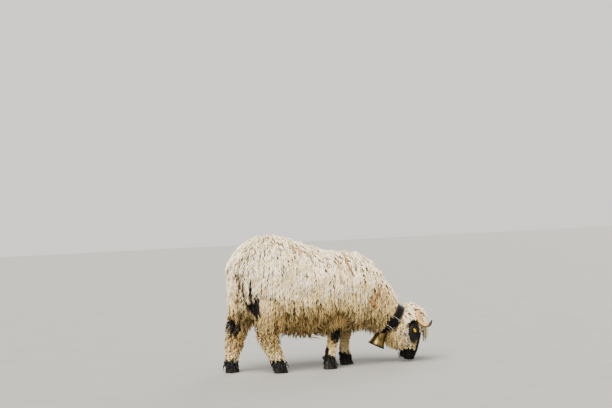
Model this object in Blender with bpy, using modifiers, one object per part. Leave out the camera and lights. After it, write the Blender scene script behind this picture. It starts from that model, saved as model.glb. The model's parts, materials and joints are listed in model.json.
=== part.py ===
"""A grazing Valais Blacknose sheep at life size, with its collar, bell and ear tag.

Metres, +Z up, +X along the sheep towards its head, +Y to its left. The origin is on the floor under
the middle of the animal. Flesh cores are lofts over elliptic rings. The fleece is bent, tapered locks
fused to them, which overlap along its lie and reach out to the true outline.
"""

import math
import random

import bmesh
import bpy
import numpy as np
from mathutils import Matrix, Vector
from mathutils.bvhtree import BVHTree

# Where the model's middle lies along X before it is set over the origin
MIDDLE = 0.0
# Gaps between nodes: beside made things, beside smooth flesh, beside locks
GAP = 0.0003
CORE_GAP = 0.00045
LOCK_GAP = 0.0006
# How deep a lock's root sits in its core
SINK = 0.014
SEED = 11

# Trunk core: x, top, bottom, half width
TORSO = [
    (-0.648, 0.705, 0.600, 0.045),
    (-0.632, 0.768, 0.530, 0.100),
    (-0.598, 0.815, 0.468, 0.145),
    (-0.540, 0.858, 0.425, 0.180),
    (-0.440, 0.893, 0.392, 0.202),
    (-0.330, 0.880, 0.358, 0.212),
    (-0.210, 0.838, 0.332, 0.216),
    (-0.090, 0.795, 0.328, 0.210),
    (0.020, 0.764, 0.336, 0.196),
    (0.110, 0.760, 0.340, 0.180),
    (0.200, 0.748, 0.334, 0.162),
]
# Neck core: x, z, half depth, half width, tilt of its axis below level in degrees
NECK = [
    (0.190, 0.541, 0.207, 0.164, 0.0),
    (0.272, 0.492, 0.172, 0.140, 12.0),
    (0.335, 0.430, 0.130, 0.112, 24.0),
    (0.383, 0.377, 0.108, 0.097, 33.0),
    (0.4219, 0.3343, 0.0957, 0.090, 36.4),
    (0.4749, 0.2953, 0.0957, 0.090, 36.4),
    (0.512, 0.268, 0.092, 0.086, 44.0),
    (0.570, 0.225, 0.074, 0.070, 60.0),
]
# Collar: the neck's axis at its middle, its own radius and the strap's section
COLLAR_CENTRE = Vector((0.4484, 0.0, 0.3148))
COLLAR_TILT = 36.4
COLLAR_WIDTH = 0.056
COLLAR_RADIUS = 0.0960
STRAP = 0.005
HANGER = (0.040, 0.030, 0.0270)
# Keeper and bands on the strap: angles from the nape, thickness, width
KEEPER = (96, 132, 0.012, 0.066)
BANDS = {
    "collar_band_upper": (92.8, 94.9, 0.015, 0.072),
    "collar_band_lower": (133.1, 135.2, 0.015, 0.072),
}
# Bell: its crown in the collar's frame, its turn to the plumb line, its wall, its outside (radius, height)
BELL_SPOT = (-0.004, 0, -0.132)
BELL_TURN = -8.8
BELL_WALL = 0.0025
BELL = [
    (0.030, 0.0),
    (0.0345, -0.005),
    (0.038, -0.025),
    (0.0435, -0.050),
    (0.050, -0.075),
    (0.057, -0.094),
    (0.060, -0.100),
]
CLAPPER = [(0.004, 0.0), (0.0035, -0.052), (0.011, -0.063), (0.012, -0.075), (0.006, -0.083)]
# Head: where the poll is and how the skull is turned. Its frame has x to the nose, y left, z to the brow
POLL = Vector((0.601, 0.015, 0.305))
HEAD_PITCH = 96.0
HEAD_YAW = 3.0
# Skull in its own frame: x, top, bottom, half width
SKULL = [
    (-0.036, 0.022, -0.054, 0.036),
    (-0.022, 0.046, -0.080, 0.058),
    (0.010, 0.060, -0.098, 0.073),
    (0.045, 0.065, -0.108, 0.079),
    (0.080, 0.064, -0.108, 0.079),
    (0.110, 0.060, -0.100, 0.070),
    (0.145, 0.055, -0.089, 0.058),
    (0.180, 0.050, -0.078, 0.050),
    (0.215, 0.043, -0.069, 0.046),
    (0.245, 0.034, -0.062, 0.045),
    (0.272, 0.021, -0.055, 0.041),
    (0.289, 0.004, -0.047, 0.032),
    (0.297, -0.014, -0.038, 0.018),
]
# Wool core of the cheeks and the poll in the same frame: x, middle height, half height, half width
CHEEKS = [
    (-0.066, -0.012, 0.012, 0.014),
    (-0.056, -0.015, 0.050, 0.054),
    (-0.030, -0.024, 0.086, 0.084),
    (0.010, -0.034, 0.110, 0.098),
    (0.050, -0.056, 0.110, 0.101),
    (0.084, -0.086, 0.080, 0.094),
    (0.125, -0.092, 0.062, 0.076),
    (0.160, -0.084, 0.042, 0.052),
]
EYE = Vector((0.095, 0.0625, 0.018))
EYE_RADIUS = 0.0145
LID = 0.0042
# Mouth line: x and height along each side of the muzzle, from its corner to its front
MOUTH = [(0.226, -0.034), (0.246, -0.030), (0.266, -0.028), (0.282, -0.027), (0.290, -0.026)]
MOUTH_FRONT = (0.25, -0.026)
MOUTH_CUT = 0.0022
# Chin and nose: middle and sizes. Nostril: its slit on one side, and its radius
CHIN = ((0.262, 0, -0.050), (0.024, 0.026, 0.015))
NOSE = ((0.281, 0.016, 0.006), (0.014, 0.015, 0.014))
NOSTRIL = [(0.292, 0.008, -0.004), (0.297, 0.016, 0.004), (0.291, 0.026, 0.013), (0.283, 0.033, 0.014)]
NOSTRIL_CUT = 0.0042
# Horn in the head's frame: to the nose, sideways, to the brow, radius
HORN = [
    (-0.022, 0.036, 0.016, 0.0220),
    (-0.026, 0.066, 0.004, 0.0230),
    (0.000, 0.092, 0.003, 0.0220),
    (0.034, 0.112, 0.018, 0.0190),
    (0.052, 0.133, 0.044, 0.0155),
    (0.042, 0.150, 0.066, 0.0110),
    (0.012, 0.158, 0.078, 0.0035),
]
# Ear in the head's frame: to the nose, sideways, to the brow, half width, depth of its cup
EAR = [
    (0.040, 0.058, -0.026, 0.014, 0.010),
    (0.054, 0.094, -0.030, 0.025, 0.015),
    (0.076, 0.124, -0.039, 0.035, 0.018),
    (0.106, 0.140, -0.047, 0.037, 0.014),
    (0.138, 0.146, -0.053, 0.024, 0.008),
    (0.158, 0.146, -0.057, 0.006, 0.003),
]
EAR_THICK = 0.0035
# Ear tag: its place along the right ear, how far its plate is moved to the tip, its plate and its pin
TAG_AT = 0.50
TAG_SHIFT = 0.006
TAG_PLATE = (0.024, 0.020, 0.0016)
TAG_PIN = 0.003
# Legs: x, y, z, half width and half depth, from the trunk down to the pastern
LEGS = {
    "foreleg_right": [
        (0.020, -0.088, 0.445, 0.050, 0.062),
        (0.006, -0.092, 0.340, 0.040, 0.048),
        (-0.002, -0.094, 0.270, 0.034, 0.039),
        (-0.006, -0.095, 0.225, 0.033, 0.037),
        (-0.016, -0.095, 0.175, 0.025, 0.028),
        (-0.030, -0.095, 0.115, 0.025, 0.029),
        (-0.040, -0.095, 0.078, 0.026, 0.031),
        (-0.043, -0.095, 0.050, 0.027, 0.032),
    ],
    "foreleg_left": [
        (0.140, 0.088, 0.445, 0.050, 0.058),
        (0.138, 0.092, 0.340, 0.040, 0.048),
        (0.136, 0.094, 0.270, 0.034, 0.039),
        (0.134, 0.095, 0.225, 0.033, 0.037),
        (0.126, 0.095, 0.175, 0.025, 0.028),
        (0.120, 0.095, 0.115, 0.025, 0.029),
        (0.124, 0.095, 0.078, 0.026, 0.031),
        (0.128, 0.095, 0.050, 0.027, 0.032),
    ],
    "hindleg_right": [
        (-0.445, -0.100, 0.500, 0.070, 0.105),
        (-0.450, -0.108, 0.400, 0.054, 0.078),
        (-0.462, -0.110, 0.330, 0.040, 0.056),
        (-0.470, -0.110, 0.275, 0.034, 0.046),
        (-0.450, -0.110, 0.215, 0.030, 0.038),
        (-0.425, -0.110, 0.150, 0.029, 0.036),
        (-0.405, -0.110, 0.100, 0.029, 0.035),
        (-0.394, -0.110, 0.074, 0.028, 0.033),
        (-0.388, -0.110, 0.050, 0.027, 0.032),
    ],
    "hindleg_left": [
        (-0.545, 0.100, 0.520, 0.066, 0.092),
        (-0.565, 0.106, 0.420, 0.054, 0.074),
        (-0.600, 0.108, 0.345, 0.040, 0.054),
        (-0.625, 0.108, 0.290, 0.034, 0.045),
        (-0.640, 0.108, 0.225, 0.030, 0.036),
        (-0.655, 0.108, 0.155, 0.029, 0.035),
        (-0.668, 0.108, 0.100, 0.029, 0.034),
        (-0.672, 0.108, 0.074, 0.028, 0.033),
        (-0.674, 0.108, 0.050, 0.027, 0.032),
    ],
}
# Tail: x, y, z, half width, half depth
TAIL = [
    (-0.580, 0.0, 0.745, 0.034, 0.030),
    (-0.634, 0.0, 0.690, 0.036, 0.028),
    (-0.654, 0.0, 0.610, 0.034, 0.022),
    (-0.658, 0.0, 0.520, 0.030, 0.020),
    (-0.657, 0.0, 0.440, 0.024, 0.017),
    (-0.655, 0.0, 0.400, 0.012, 0.010),
]
# Hoof: height, half width, reach behind and ahead of the pastern's middle
HOOF = [
    (0.0497, 0.027, 0.031, 0.032),
    (0.030, 0.031, 0.035, 0.041),
    (0.0, 0.034, 0.037, 0.053),
]
CLEFT = (0.050, 0.005, 0.090)

# A lock's width at places from its root to near its tip
LOCK_SHAPE = [(0.0, 0.7), (0.42, 1.0), (0.83, 0.72)]
# Rows of locks: degrees above level round one side, length, lift off the core, spacing
TORSO_ROWS = [
    (-56, 0.090, 0.056, 0.130),
    (-22, 0.185, 0.058, 0.088),
    (12, 0.230, 0.054, 0.088),
    (46, 0.220, 0.044, 0.088),
    (76, 0.180, 0.036, 0.100),
]
NECK_ROWS = [
    (-58, 0.055, 0.022, 0.090),
    (-16, 0.120, 0.034, 0.080),
    (26, 0.150, 0.036, 0.080),
    (70, 0.130, 0.030, 0.084),
]
# Locks along the ridge: length, lift, spacing, which way they lie
TORSO_RIDGE = (0.160, 0.031, 0.094, (-0.6, -1.0))
NECK_RIDGE = (0.120, 0.026, 0.084, (0.7, -1.0))
# Width and thickness of the locks
TORSO_LOCK = (0.114, 0.030)
NECK_LOCK = (0.100, 0.026)
# Locks of the head: place from poll to nose, turns, length, lift, all pulled to the nose
HEAD_LOCKS = [
    (-0.063, (0, 90, 180, 270), 0.095, 0.030),
    (-0.046, (20, 62, 90, 118, 160), 0.085, 0.036),
    (0.004, (48, 78, 102, 132), 0.095, 0.044),
    (-0.020, (-5, 185, -48, 228), 0.095, 0.030),
    (0.052, (-8, 188, -42, 222, -76, 256), 0.100, 0.030),
    (0.098, (-30, 210, -70, 250), 0.075, 0.026),
]
HEAD_LOCK = (0.066, 0.026)
# Locks of the limbs: rows along the rings, how many round, length, width, lift
HIND_LOCKS = ((2.0, 3.6, 5.2), 4, 0.120, 0.062, 0.018)
FORE_LOCKS = ((1.6, 3.4), 3, 0.110, 0.064, 0.010)
TAIL_LOCKS = ((1.6, 3.0), 4, 0.130, 0.060, 0.020)
TAIL_CLEAR = 0.036

COLOURS = {
    "fleece": ((0.80, 0.74, 0.63), 0.95, 0.0),
    "black_wool": ((0.02, 0.017, 0.015), 0.9, 0.0),
    "horn": ((0.50, 0.34, 0.18), 0.55, 0.0),
    "hoof": ((0.05, 0.04, 0.035), 0.5, 0.0),
    "eye": ((0.03, 0.02, 0.01), 0.1, 0.0),
    "leather": ((0.02, 0.02, 0.025), 0.6, 0.0),
    "steel": ((0.6, 0.6, 0.6), 0.35, 1.0),
    "bell_metal": ((0.42, 0.28, 0.12), 0.4, 1.0),
    "tag": ((0.95, 0.75, 0.02), 0.4, 0.0),
}

FORWARD = Vector((1, 0, 0))
RIGHT = Vector((0, -1, 0))
UP = Vector((0, 0, 1))


def material(slot):
    """The Principled material of one finish, made once."""
    made = bpy.data.materials.get(slot)
    if made:
        return made
    colour, roughness, metallic = COLOURS[slot]
    made = bpy.data.materials.new(slot)
    made.use_nodes = True
    shader = made.node_tree.nodes["Principled BSDF"]
    shader.inputs["Base Color"].default_value = (*colour, 1.0)
    shader.inputs["Roughness"].default_value = roughness
    shader.inputs["Metallic"].default_value = metallic
    return made


def new_object(name, bm, slot, home):
    """An object made from a bmesh, with outward normals and flat triangles."""
    bmesh.ops.recalc_face_normals(bm, faces=bm.faces)
    if bm.calc_volume(signed=True) < 0:
        bmesh.ops.reverse_faces(bm, faces=bm.faces)
    bmesh.ops.triangulate(bm, faces=bm.faces, quad_method="SHORT_EDGE")
    mesh = bpy.data.meshes.new(name)
    bm.to_mesh(mesh)
    bm.free()
    mesh.materials.append(material(slot))
    obj = bpy.data.objects.new(name, mesh)
    home.objects.link(obj)
    return obj


def apply_modifiers(obj):
    """Replaces the mesh by its evaluated copy and drops the modifiers."""
    bpy.context.view_layer.update()
    graph = bpy.context.evaluated_depsgraph_get()
    made = bpy.data.meshes.new_from_object(obj.evaluated_get(graph))
    obj.modifiers.clear()
    old = obj.data
    obj.data = made
    bpy.data.meshes.remove(old)


def remove(obj):
    """Removes an object with its mesh."""
    mesh = obj.data
    bpy.data.objects.remove(obj)
    bpy.data.meshes.remove(mesh)


def pieces_of(bm):
    """The vertices of each separate surface."""
    left, pieces = set(bm.verts), []
    while left:
        stack, piece = [left.pop()], set()
        while stack:
            vert = stack.pop()
            piece.add(vert)
            near = {edge.other_vert(vert) for edge in vert.link_edges} & left
            left -= near
            stack.extend(near)
        pieces.append(piece)
    return pieces


def span(verts):
    """The length of the box round some vertices."""
    places = np.array([vert.co for vert in verts])
    return float(np.linalg.norm(places.max(axis=0) - places.min(axis=0)))


def keep_largest(obj):
    """Keeps only the largest closed surface, so sealed hollows fill and scraps go."""
    bm = bmesh.new()
    bm.from_mesh(obj.data)
    pieces = pieces_of(bm)
    if len(pieces) > 1:
        kept = max(pieces, key=span)
        bmesh.ops.delete(bm, geom=[v for v in bm.verts if v not in kept], context="VERTS")
        bm.to_mesh(obj.data)
    bm.free()


def boolean_all(obj, others, operation):
    """One Boolean with a collection of closed meshes, applied, with the collection's objects removed."""
    tools = bpy.data.collections.new("joined")
    bpy.context.scene.collection.children.link(tools)
    for other in others:
        for home in list(other.users_collection):
            home.objects.unlink(other)
        tools.objects.link(other)
    step = obj.modifiers.new("join", "BOOLEAN")
    step.operation = operation
    step.operand_type = "COLLECTION"
    step.collection = tools
    step.solver = "MANIFOLD"
    apply_modifiers(obj)
    for other in others:
        remove(other)
    bpy.data.collections.remove(tools)


def boolean(obj, others, operation):
    """The same, keeping only the largest closed surface."""
    boolean_all(obj, others, operation)
    keep_largest(obj)


def grown(obj, by):
    """A copy with every vertex moved out along its normal."""
    mesh = obj.data.copy()
    places, normals = np.empty(len(mesh.vertices) * 3), np.empty(len(mesh.vertices) * 3)
    mesh.vertices.foreach_get("co", places)
    mesh.vertex_normals.foreach_get("vector", normals)
    mesh.vertices.foreach_set("co", places + by * normals)
    copy = bpy.data.objects.new(obj.name + "_grown", mesh)
    bpy.context.scene.collection.objects.link(copy)
    return copy


def cut_clear(obj, keepers, by):
    """Cuts obj clear of its neighbours by a thin gap."""
    boolean(obj, [grown(keeper, by) for keeper in keepers], "DIFFERENCE")


def skin(name, loops, slot, home):
    """A closed surface over loops of points, each with the same count, capped at both ends."""
    bm = bmesh.new()
    rows = [[bm.verts.new(point) for point in loop] for loop in loops]
    for a, b in zip(rows, rows[1:]):
        for k in range(len(a)):
            n = (k + 1) % len(a)
            bm.faces.new((a[k], a[n], b[n], b[k]))
    bm.faces.new(rows[0])
    bm.faces.new(rows[-1])
    return new_object(name, bm, slot, home)


def frame_of(axis, side):
    """Side and up vectors square to an axis."""
    axis = axis.normalized()
    up = side.cross(axis).normalized()
    return axis.cross(up).normalized(), up


def ring_point(ring, turn):
    """The point of a ring (centre, axis, side, half width, up, down) at a turn from its side vector."""
    centre, axis, side, half, above, below = ring
    across, up = frame_of(axis, side)
    height = math.sin(turn)
    return centre + across * half * math.cos(turn) + up * (above if height > 0 else below) * height


def loft(name, rings, sides, slot, home):
    """A closed skin over rings."""
    turns = [2 * math.pi * (k + 0.5) / sides for k in range(sides)]
    return skin(name, [[ring_point(ring, turn) for turn in turns] for ring in rings], slot, home)


def on_rings(rings, along, turn):
    """Point and outward normal of a loft at a place along its rings (0 to count - 1) and a turn."""
    def at(s, a):
        s = min(max(s, 0.0), len(rings) - 1.0)
        k = min(int(s), len(rings) - 2)
        return ring_point(rings[k], a).lerp(ring_point(rings[k + 1], a), s - k)

    point = at(along, turn)
    ahead = at(along + 0.4, turn) - at(along - 0.4, turn)
    round_it = at(along, turn + 0.2) - at(along, turn - 0.2)
    normal = ahead.cross(round_it).normalized()
    middle = (at(along, turn) + at(along, turn + math.pi)) * 0.5
    return point, normal if normal.dot(point - middle) > 0 else -normal


def torso_rings():
    """The trunk's rings, square to X."""
    rings = []
    for x, top, bottom, half in TORSO:
        middle = bottom + 0.52 * (top - bottom)
        rings.append((Vector((x, 0, middle)), FORWARD, RIGHT, half, top - middle, middle - bottom))
    return rings


def neck_rings():
    """The neck's rings, from the trunk into the head."""
    rings = []
    for x, z, depth, half, tilt in NECK:
        axis = Vector((math.cos(math.radians(tilt)), 0, -math.sin(math.radians(tilt))))
        rings.append((Vector((x, 0, z)), axis, RIGHT, half, depth, depth))
    return rings


def skull_rings():
    """The skull's rings in its own frame."""
    return [(Vector((x, 0, 0)), FORWARD, RIGHT, half, top, -bottom) for x, top, bottom, half in SKULL]


def cheek_rings():
    """The rings of the head's wool core in its own frame."""
    return [(Vector((x, 0, z)), FORWARD, RIGHT, half, tall, tall) for x, z, tall, half in CHEEKS]


def limb_rings(points):
    """Rings down a leg or the tail, each square to the line of its neighbours, the last one level."""
    rings = []
    for n, (x, y, z, half, depth) in enumerate(points):
        ahead = Vector(points[min(n + 1, len(points) - 1)][:3])
        behind = Vector(points[max(n - 1, 0)][:3])
        axis = -UP if n == len(points) - 1 else ahead - behind
        rings.append((Vector((x, y, z)), axis, RIGHT, half, depth, depth))
    return rings


def head_matrix():
    """Places the head's own frame in the world."""
    pitch = Matrix.Rotation(math.radians(HEAD_PITCH), 4, "Y")
    return Matrix.Translation(POLL) @ Matrix.Rotation(math.radians(HEAD_YAW), 4, "Z") @ pitch


def collar_matrix():
    """Places the collar's own frame: x along the neck, z to the nape."""
    return Matrix.Translation(COLLAR_CENTRE) @ Matrix.Rotation(math.radians(COLLAR_TILT), 4, "Y")


def bell_matrix():
    """Places the bell's own frame: z up its axis, from the middle of its crown."""
    turn = Matrix.Rotation(math.radians(BELL_TURN), 4, "Y")
    return collar_matrix() @ Matrix.Translation(BELL_SPOT) @ turn


def place(obj, matrix):
    """Writes a placement into the mesh, so that the object stays at the origin."""
    obj.data.transform(matrix)
    return obj


def box(name, size, centre, slot, home):
    """A block by its size and centre."""
    bm = bmesh.new()
    bmesh.ops.create_cube(bm, size=1, matrix=Matrix.Translation(centre) @ Matrix.Diagonal((*size, 1)))
    return new_object(name, bm, slot, home)


def ball(name, centre, sizes, slot, home, across=12, along=8):
    """An ellipsoid."""
    bm = bmesh.new()
    shape = Matrix.Translation(centre) @ Matrix.Diagonal((*sizes, 1))
    bmesh.ops.create_uvsphere(bm, u_segments=across, v_segments=along, radius=1, matrix=shape)
    return new_object(name, bm, slot, home)


def bar(name, points, radius, slot, home, sides=6, ends=0.35):
    """A bent bar through points, thinner at its ends."""
    rings = []
    for n, point in enumerate(points):
        axis = Vector(points[min(n + 1, len(points) - 1)]) - Vector(points[max(n - 1, 0)])
        side = UP if abs(axis.normalized().z) < 0.8 else FORWARD
        size = radius * (ends if n in (0, len(points) - 1) else 1)
        rings.append((Vector(point), axis, side, size, size, size))
    return loft(name, rings, sides, slot, home)


def turned(name, profile, steps, slot, home):
    """A profile of (radius, height), from axis to axis, turned about Z by a Screw and applied."""
    bm = bmesh.new()
    ends = [bm.verts.new((radius, 0, height)) for radius, height in profile]
    for a, b in zip(ends, ends[1:]):
        bm.edges.new((a, b))
    mesh = bpy.data.meshes.new(name)
    bm.to_mesh(mesh)
    bm.free()
    wire = bpy.data.objects.new(name + "_profile", mesh)
    bpy.context.scene.collection.objects.link(wire)
    screw = wire.modifiers.new("turn", "SCREW")
    screw.steps = screw.render_steps = steps
    screw.use_merge_vertices = True
    screw.merge_threshold = 0.00001
    apply_modifiers(wire)
    bm = bmesh.new()
    bm.from_mesh(wire.data)
    remove(wire)
    return new_object(name, bm, slot, home)


def along_path(path, sizes, t):
    """Point and size at t from 0 to 1 of a smooth curve through a path."""
    spot = t * (len(path) - 1)
    k = min(int(spot), len(path) - 2)
    f = spot - k
    a, b = path[max(k - 1, 0)], path[k]
    c, d = path[k + 1], path[min(k + 2, len(path) - 1)]
    bend = (2 * a - 5 * b + 4 * c - d) * f * f + (3 * b - a - 3 * c + d) * f**3
    return b + ((c - a) * f + bend) * 0.5, sizes[k] + (sizes[k + 1] - sizes[k]) * f


def draped(tree, root, normal, pull, length, lift):
    """The middle line of a lock: out of the skin, then over the body, or on where it hangs free."""
    steps = 12
    line = [root - normal * SINK]
    spot = root
    lie = (pull - normal * pull.dot(normal) * 0.9).normalized()
    for n in range(1, steps + 1):
        high = lift * math.sin(min(2.4 * n / steps, 1) * math.pi / 2)
        spot = spot + lie * length / steps
        near, facing, _, distance = tree.find_nearest(spot)
        out = (spot - near).normalized() if distance > 0.001 else facing
        under = out.dot(facing) < 0
        if under:
            out = -out
        if under or distance < high or out.dot(pull) < 0.25:
            spot = near + out * high
        line.append(spot)
        lie = (pull - out * min(pull.dot(out), 0) + lie * 0.5).normalized()
    return line


def lock(line, width, thick, tree, rng):
    """One flat, tapered lock along its middle line."""
    bm = bmesh.new()
    wave = rng.uniform(-0.2, 0.2) * width
    last = len(line) - 1
    rows = []
    for t, size in LOCK_SHAPE:
        spot = round(t * last)
        axis = line[min(spot + 2, last)] - line[max(spot - 2, 0)]
        out = line[spot] - tree.find_nearest(line[spot])[0] if spot else line[2] - line[0]
        side, up = frame_of(axis, axis.cross(out))
        centre = line[spot] + side * wave * math.sin(math.pi * 1.5 * t)
        across, rise = side * width * size / 2, up * thick * size / 2
        rows.append([bm.verts.new(centre + move) for move in (across, rise, -across, -rise)])
    tip = bm.verts.new(line[-1])
    for a, b in zip(rows, rows[1:]):
        for k in range(4):
            bm.faces.new((a[k], a[k - 1], b[k - 1], b[k]))
    for k in range(4):
        bm.faces.new((rows[-1][k], rows[-1][k - 1], tip))
    bm.faces.new(rows[0])
    return new_object("lock", bm, "fleece", bpy.context.scene.collection)


def tree_of(obj):
    """A search tree over an object's surface."""
    return BVHTree.FromObject(obj, bpy.context.evaluated_depsgraph_get())


def spaced(rings, turn, step, start):
    """Places along a loft, evenly spaced over its surface at one turn."""
    fine = np.linspace(0, len(rings) - 1, 8 * len(rings))
    points = np.array([on_rings(rings, s, turn)[0] for s in fine])
    run = np.concatenate([[0], np.cumsum(np.linalg.norm(np.diff(points, axis=0), axis=1))])
    return np.interp(np.arange(start * step, run[-1], step), run, fine)


def body_locks(core, rings, rows, size, rng):
    """Rows of locks down both sides of the trunk or the neck, each row over the roots of the next."""
    tree = tree_of(core)
    made = []
    for n, (turn, length, lift, step) in enumerate(rows):
        for m, angle in enumerate((turn, 180 - turn)):
            for along in spaced(rings, math.radians(angle), step, 0.25 + 0.5 * ((n + m) % 2)):
                root, normal = on_rings(rings, along, math.radians(angle + rng.uniform(-4, 4)))
                pull = Vector((rng.uniform(-0.16, 0.10), 0, -1)).normalized()
                line = draped(tree, root, normal, pull, length * rng.uniform(0.85, 1.15), lift)
                made.append(lock(line, *size, tree, rng))
    return made


def ridge_locks(core, rings, row, size, rng):
    """Locks along the top of the trunk or the neck, turned by turns to one side and the other."""
    length, lift, step, (ahead, down) = row
    top = math.pi / 2
    tree = tree_of(core)
    made = []
    for n, along in enumerate(spaced(rings, top, step, 0.6)):
        root, normal = on_rings(rings, along, top)
        pull = Vector((ahead, rng.uniform(0.3, 0.6) * (-1) ** n, down)).normalized()
        made.append(lock(draped(tree, root, normal, pull, length, lift), *size, tree, rng))
    return made


def limb_locks(core, rings, sizes, rng):
    """Locks down a limb, in rings of a few."""
    rows, around, length, width, lift = sizes
    tree = tree_of(core)
    made = []
    for n, along in enumerate(rows):
        for k in range(around):
            turn = 2 * math.pi * (k + 0.5 * (n % 2)) / around + rng.uniform(-0.15, 0.15)
            root, normal = on_rings(rings, along, turn)
            pull = rings[round(along)][1].normalized()
            line = draped(tree, root, normal, pull, length * rng.uniform(0.85, 1.15), lift)
            made.append(lock(line, width, width * 0.42, tree, rng))
    return made


def head_locks(core, rng):
    """The topknot, the forelock and the woolly cheeks, in the head's frame."""
    rings = cheek_rings()
    stations = [x for x, *_ in CHEEKS]
    tree = tree_of(core)
    made = []
    for x, turns, length, lift in HEAD_LOCKS:
        for turn in turns:
            along = float(np.interp(x + rng.uniform(-0.006, 0.006), stations, range(len(stations))))
            root, normal = on_rings(rings, along, math.radians(turn + rng.uniform(-6, 6)))
            line = draped(tree, root, normal, FORWARD, length * rng.uniform(0.9, 1.1), lift)
            made.append(lock(line, *HEAD_LOCK, tree, rng))
    return made


def lid_bars(home):
    """An upper and a lower lid round each eye."""
    made = []
    for sign in (-1, 1):
        middle = Vector((EYE.x, sign * EYE.y, EYE.z))
        out = Vector((0.1, sign, 0.12)).normalized()
        long = Vector((1, -0.1 * sign, -0.16)).normalized()
        tall = long.cross(out) * sign * -1
        for rise in (1, -0.8):
            points = []
            for k in range(6):
                turn = math.pi * k / 5
                bulge = out * (0.009 + 0.003 * math.sin(turn)) + tall * 0.0105 * rise * math.sin(turn)
                points.append(middle + bulge + long * 0.0185 * math.cos(turn))
            made.append(bar("lid", points, LID, "fleece", home, 4, 0.6))
    return made


def mouth_path(head):
    """Points on the muzzle's surface from one corner of the mouth round the front to the other."""
    tree = tree_of(head)
    right = [tree.ray_cast(Vector((x, 0, z)), RIGHT)[0] for x, z in MOUTH]
    left = [tree.ray_cast(Vector((x, 0, z)), -RIGHT)[0] for x, z in MOUTH]
    front = tree.ray_cast(Vector((MOUTH_FRONT[0], 0, MOUTH_FRONT[1])), FORWARD)[0]
    return [*right, front, *reversed(left)]


def shape_face(head):
    """Adds lids, lips, chin and nose to the skull, then cuts the mouth line and the nostrils."""
    loose = bpy.context.scene.collection
    line = mouth_path(head)
    added = lid_bars(loose)
    above, below = UP * 0.0055, -UP * 0.0055 - FORWARD * 0.003
    added.append(bar("lip_upper", [point + above for point in line], 0.0058, "fleece", loose, 5))
    added.append(bar("lip_lower", [point + below for point in line], 0.0050, "fleece", loose, 5))
    added.append(ball("chin", *CHIN, "fleece", loose, 8, 5))
    cut = [bar("mouth", line, MOUTH_CUT, "fleece", loose, 4)]
    (x, y, z), sizes = NOSE
    for sign in (-1, 1):
        added.append(ball("nose", (x, sign * y, z), sizes, "fleece", loose, 8, 5))
        slit = [(ahead, sign * aside, high) for ahead, aside, high in NOSTRIL]
        cut.append(bar("nostril", slit, NOSTRIL_CUT, "fleece", loose, 5))
    boolean(head, added, "UNION")
    boolean(head, cut, "DIFFERENCE")


def make_head(home):
    """The skull with its face, still in its own frame."""
    head = loft("head", skull_rings(), 16, "fleece", home)
    shape_face(head)
    return head


def make_eyes(home):
    """Two eyeballs, in the head's frame."""
    eyes = []
    for ending, sign in (("right", -1), ("left", 1)):
        centre = Vector((EYE.x, sign * EYE.y, EYE.z))
        eyes.append(ball("eye_" + ending, centre, [EYE_RADIUS] * 3, "eye", home, 10, 7))
    return eyes


def make_horns(home):
    """Two ridged horns that sag towards the nose and turn back up, in the head's frame."""
    horns = []
    steps = 14
    sizes = [radius for *_, radius in HORN]
    for ending, sign in (("right", -1), ("left", 1)):
        path = [Vector((x, sign * y, z)) for x, y, z, _ in HORN]
        rings = []
        for n in range(steps + 1):
            t = n / steps
            point, radius = along_path(path, sizes, t)
            ahead = along_path(path, sizes, min(t + 0.03, 1))[0]
            behind = along_path(path, sizes, max(t - 0.03, 0))[0]
            radius *= 1 + (0.08 if n % 2 else -0.03) * (1 - t)
            rings.append((point, ahead - behind, UP, radius, radius * 0.86, radius * 0.86))
        horns.append(loft("horn_" + ending, rings, 7, "horn", home))
    return horns


def ear_frame(sign, t):
    """Middle, across and out vectors, half width and cup of an ear at t from root to tip."""
    path = [Vector((x, sign * y, z)) for x, y, z, *_ in EAR]
    point, width = along_path(path, [half for *_, half, _ in EAR], t)
    cup = along_path(path, [depth for *_, depth in EAR], t)[1]
    ahead = along_path(path, [0] * len(path), min(t + 0.05, 1))[0]
    behind = along_path(path, [0] * len(path), max(t - 0.05, 0))[0]
    across, out = frame_of(ahead - behind, Vector((-0.2, 0, -1)))
    return point, across, out if out.y * sign > 0 else -out, width, cup


def make_ears(home):
    """Two hanging ears: thin crescents, their cups turned to the head, in the head's frame."""
    ears = []
    steps = 7
    spread = (-1, -0.55, 0, 0.55, 1)
    for ending, sign in (("right", -1), ("left", 1)):
        loops = []
        for n in range(steps + 1):
            point, across, out, width, cup = ear_frame(sign, n / steps)
            back = [point + across * u * width + out * cup * (1 - u * u) for u in spread]
            front = [point + across * u * width * 0.94 + out * (cup * (1 - u * u) - EAR_THICK)
                     for u in reversed(spread)]
            loops.append(back + front)
        ears.append(skin("ear_" + ending, loops, "black_wool", home))
    return ears


def make_tag(ear, home):
    """A blank two-plate tag whose pin goes through the right ear, in the head's frame."""
    point, across, out, _, cup = ear_frame(-1, TAG_AT)
    along = across.cross(out)
    middle = point + out * (cup - EAR_THICK / 2)
    turn = Matrix((along, across, out)).transposed().to_4x4()
    gap = EAR_THICK / 2 + TAG_PLATE[2] / 2 + 0.0035
    frame = Matrix.Translation(middle) @ turn
    tag = box("ear_tag", TAG_PLATE, (-TAG_SHIFT, 0, gap), "tag", home)
    back = (TAG_PLATE[0] * 0.8, TAG_PLATE[1] * 0.8, TAG_PLATE[2])
    inner = box("tag_back", back, (0, 0, -gap), "tag", home)
    pin = box("tag_pin", (TAG_PIN, TAG_PIN, 2 * gap), (0, 0, 0), "tag", home)
    boolean(tag, [inner, pin], "UNION")
    place(tag, frame)
    cut_clear(ear, [tag], CORE_GAP)
    return tag


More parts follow.
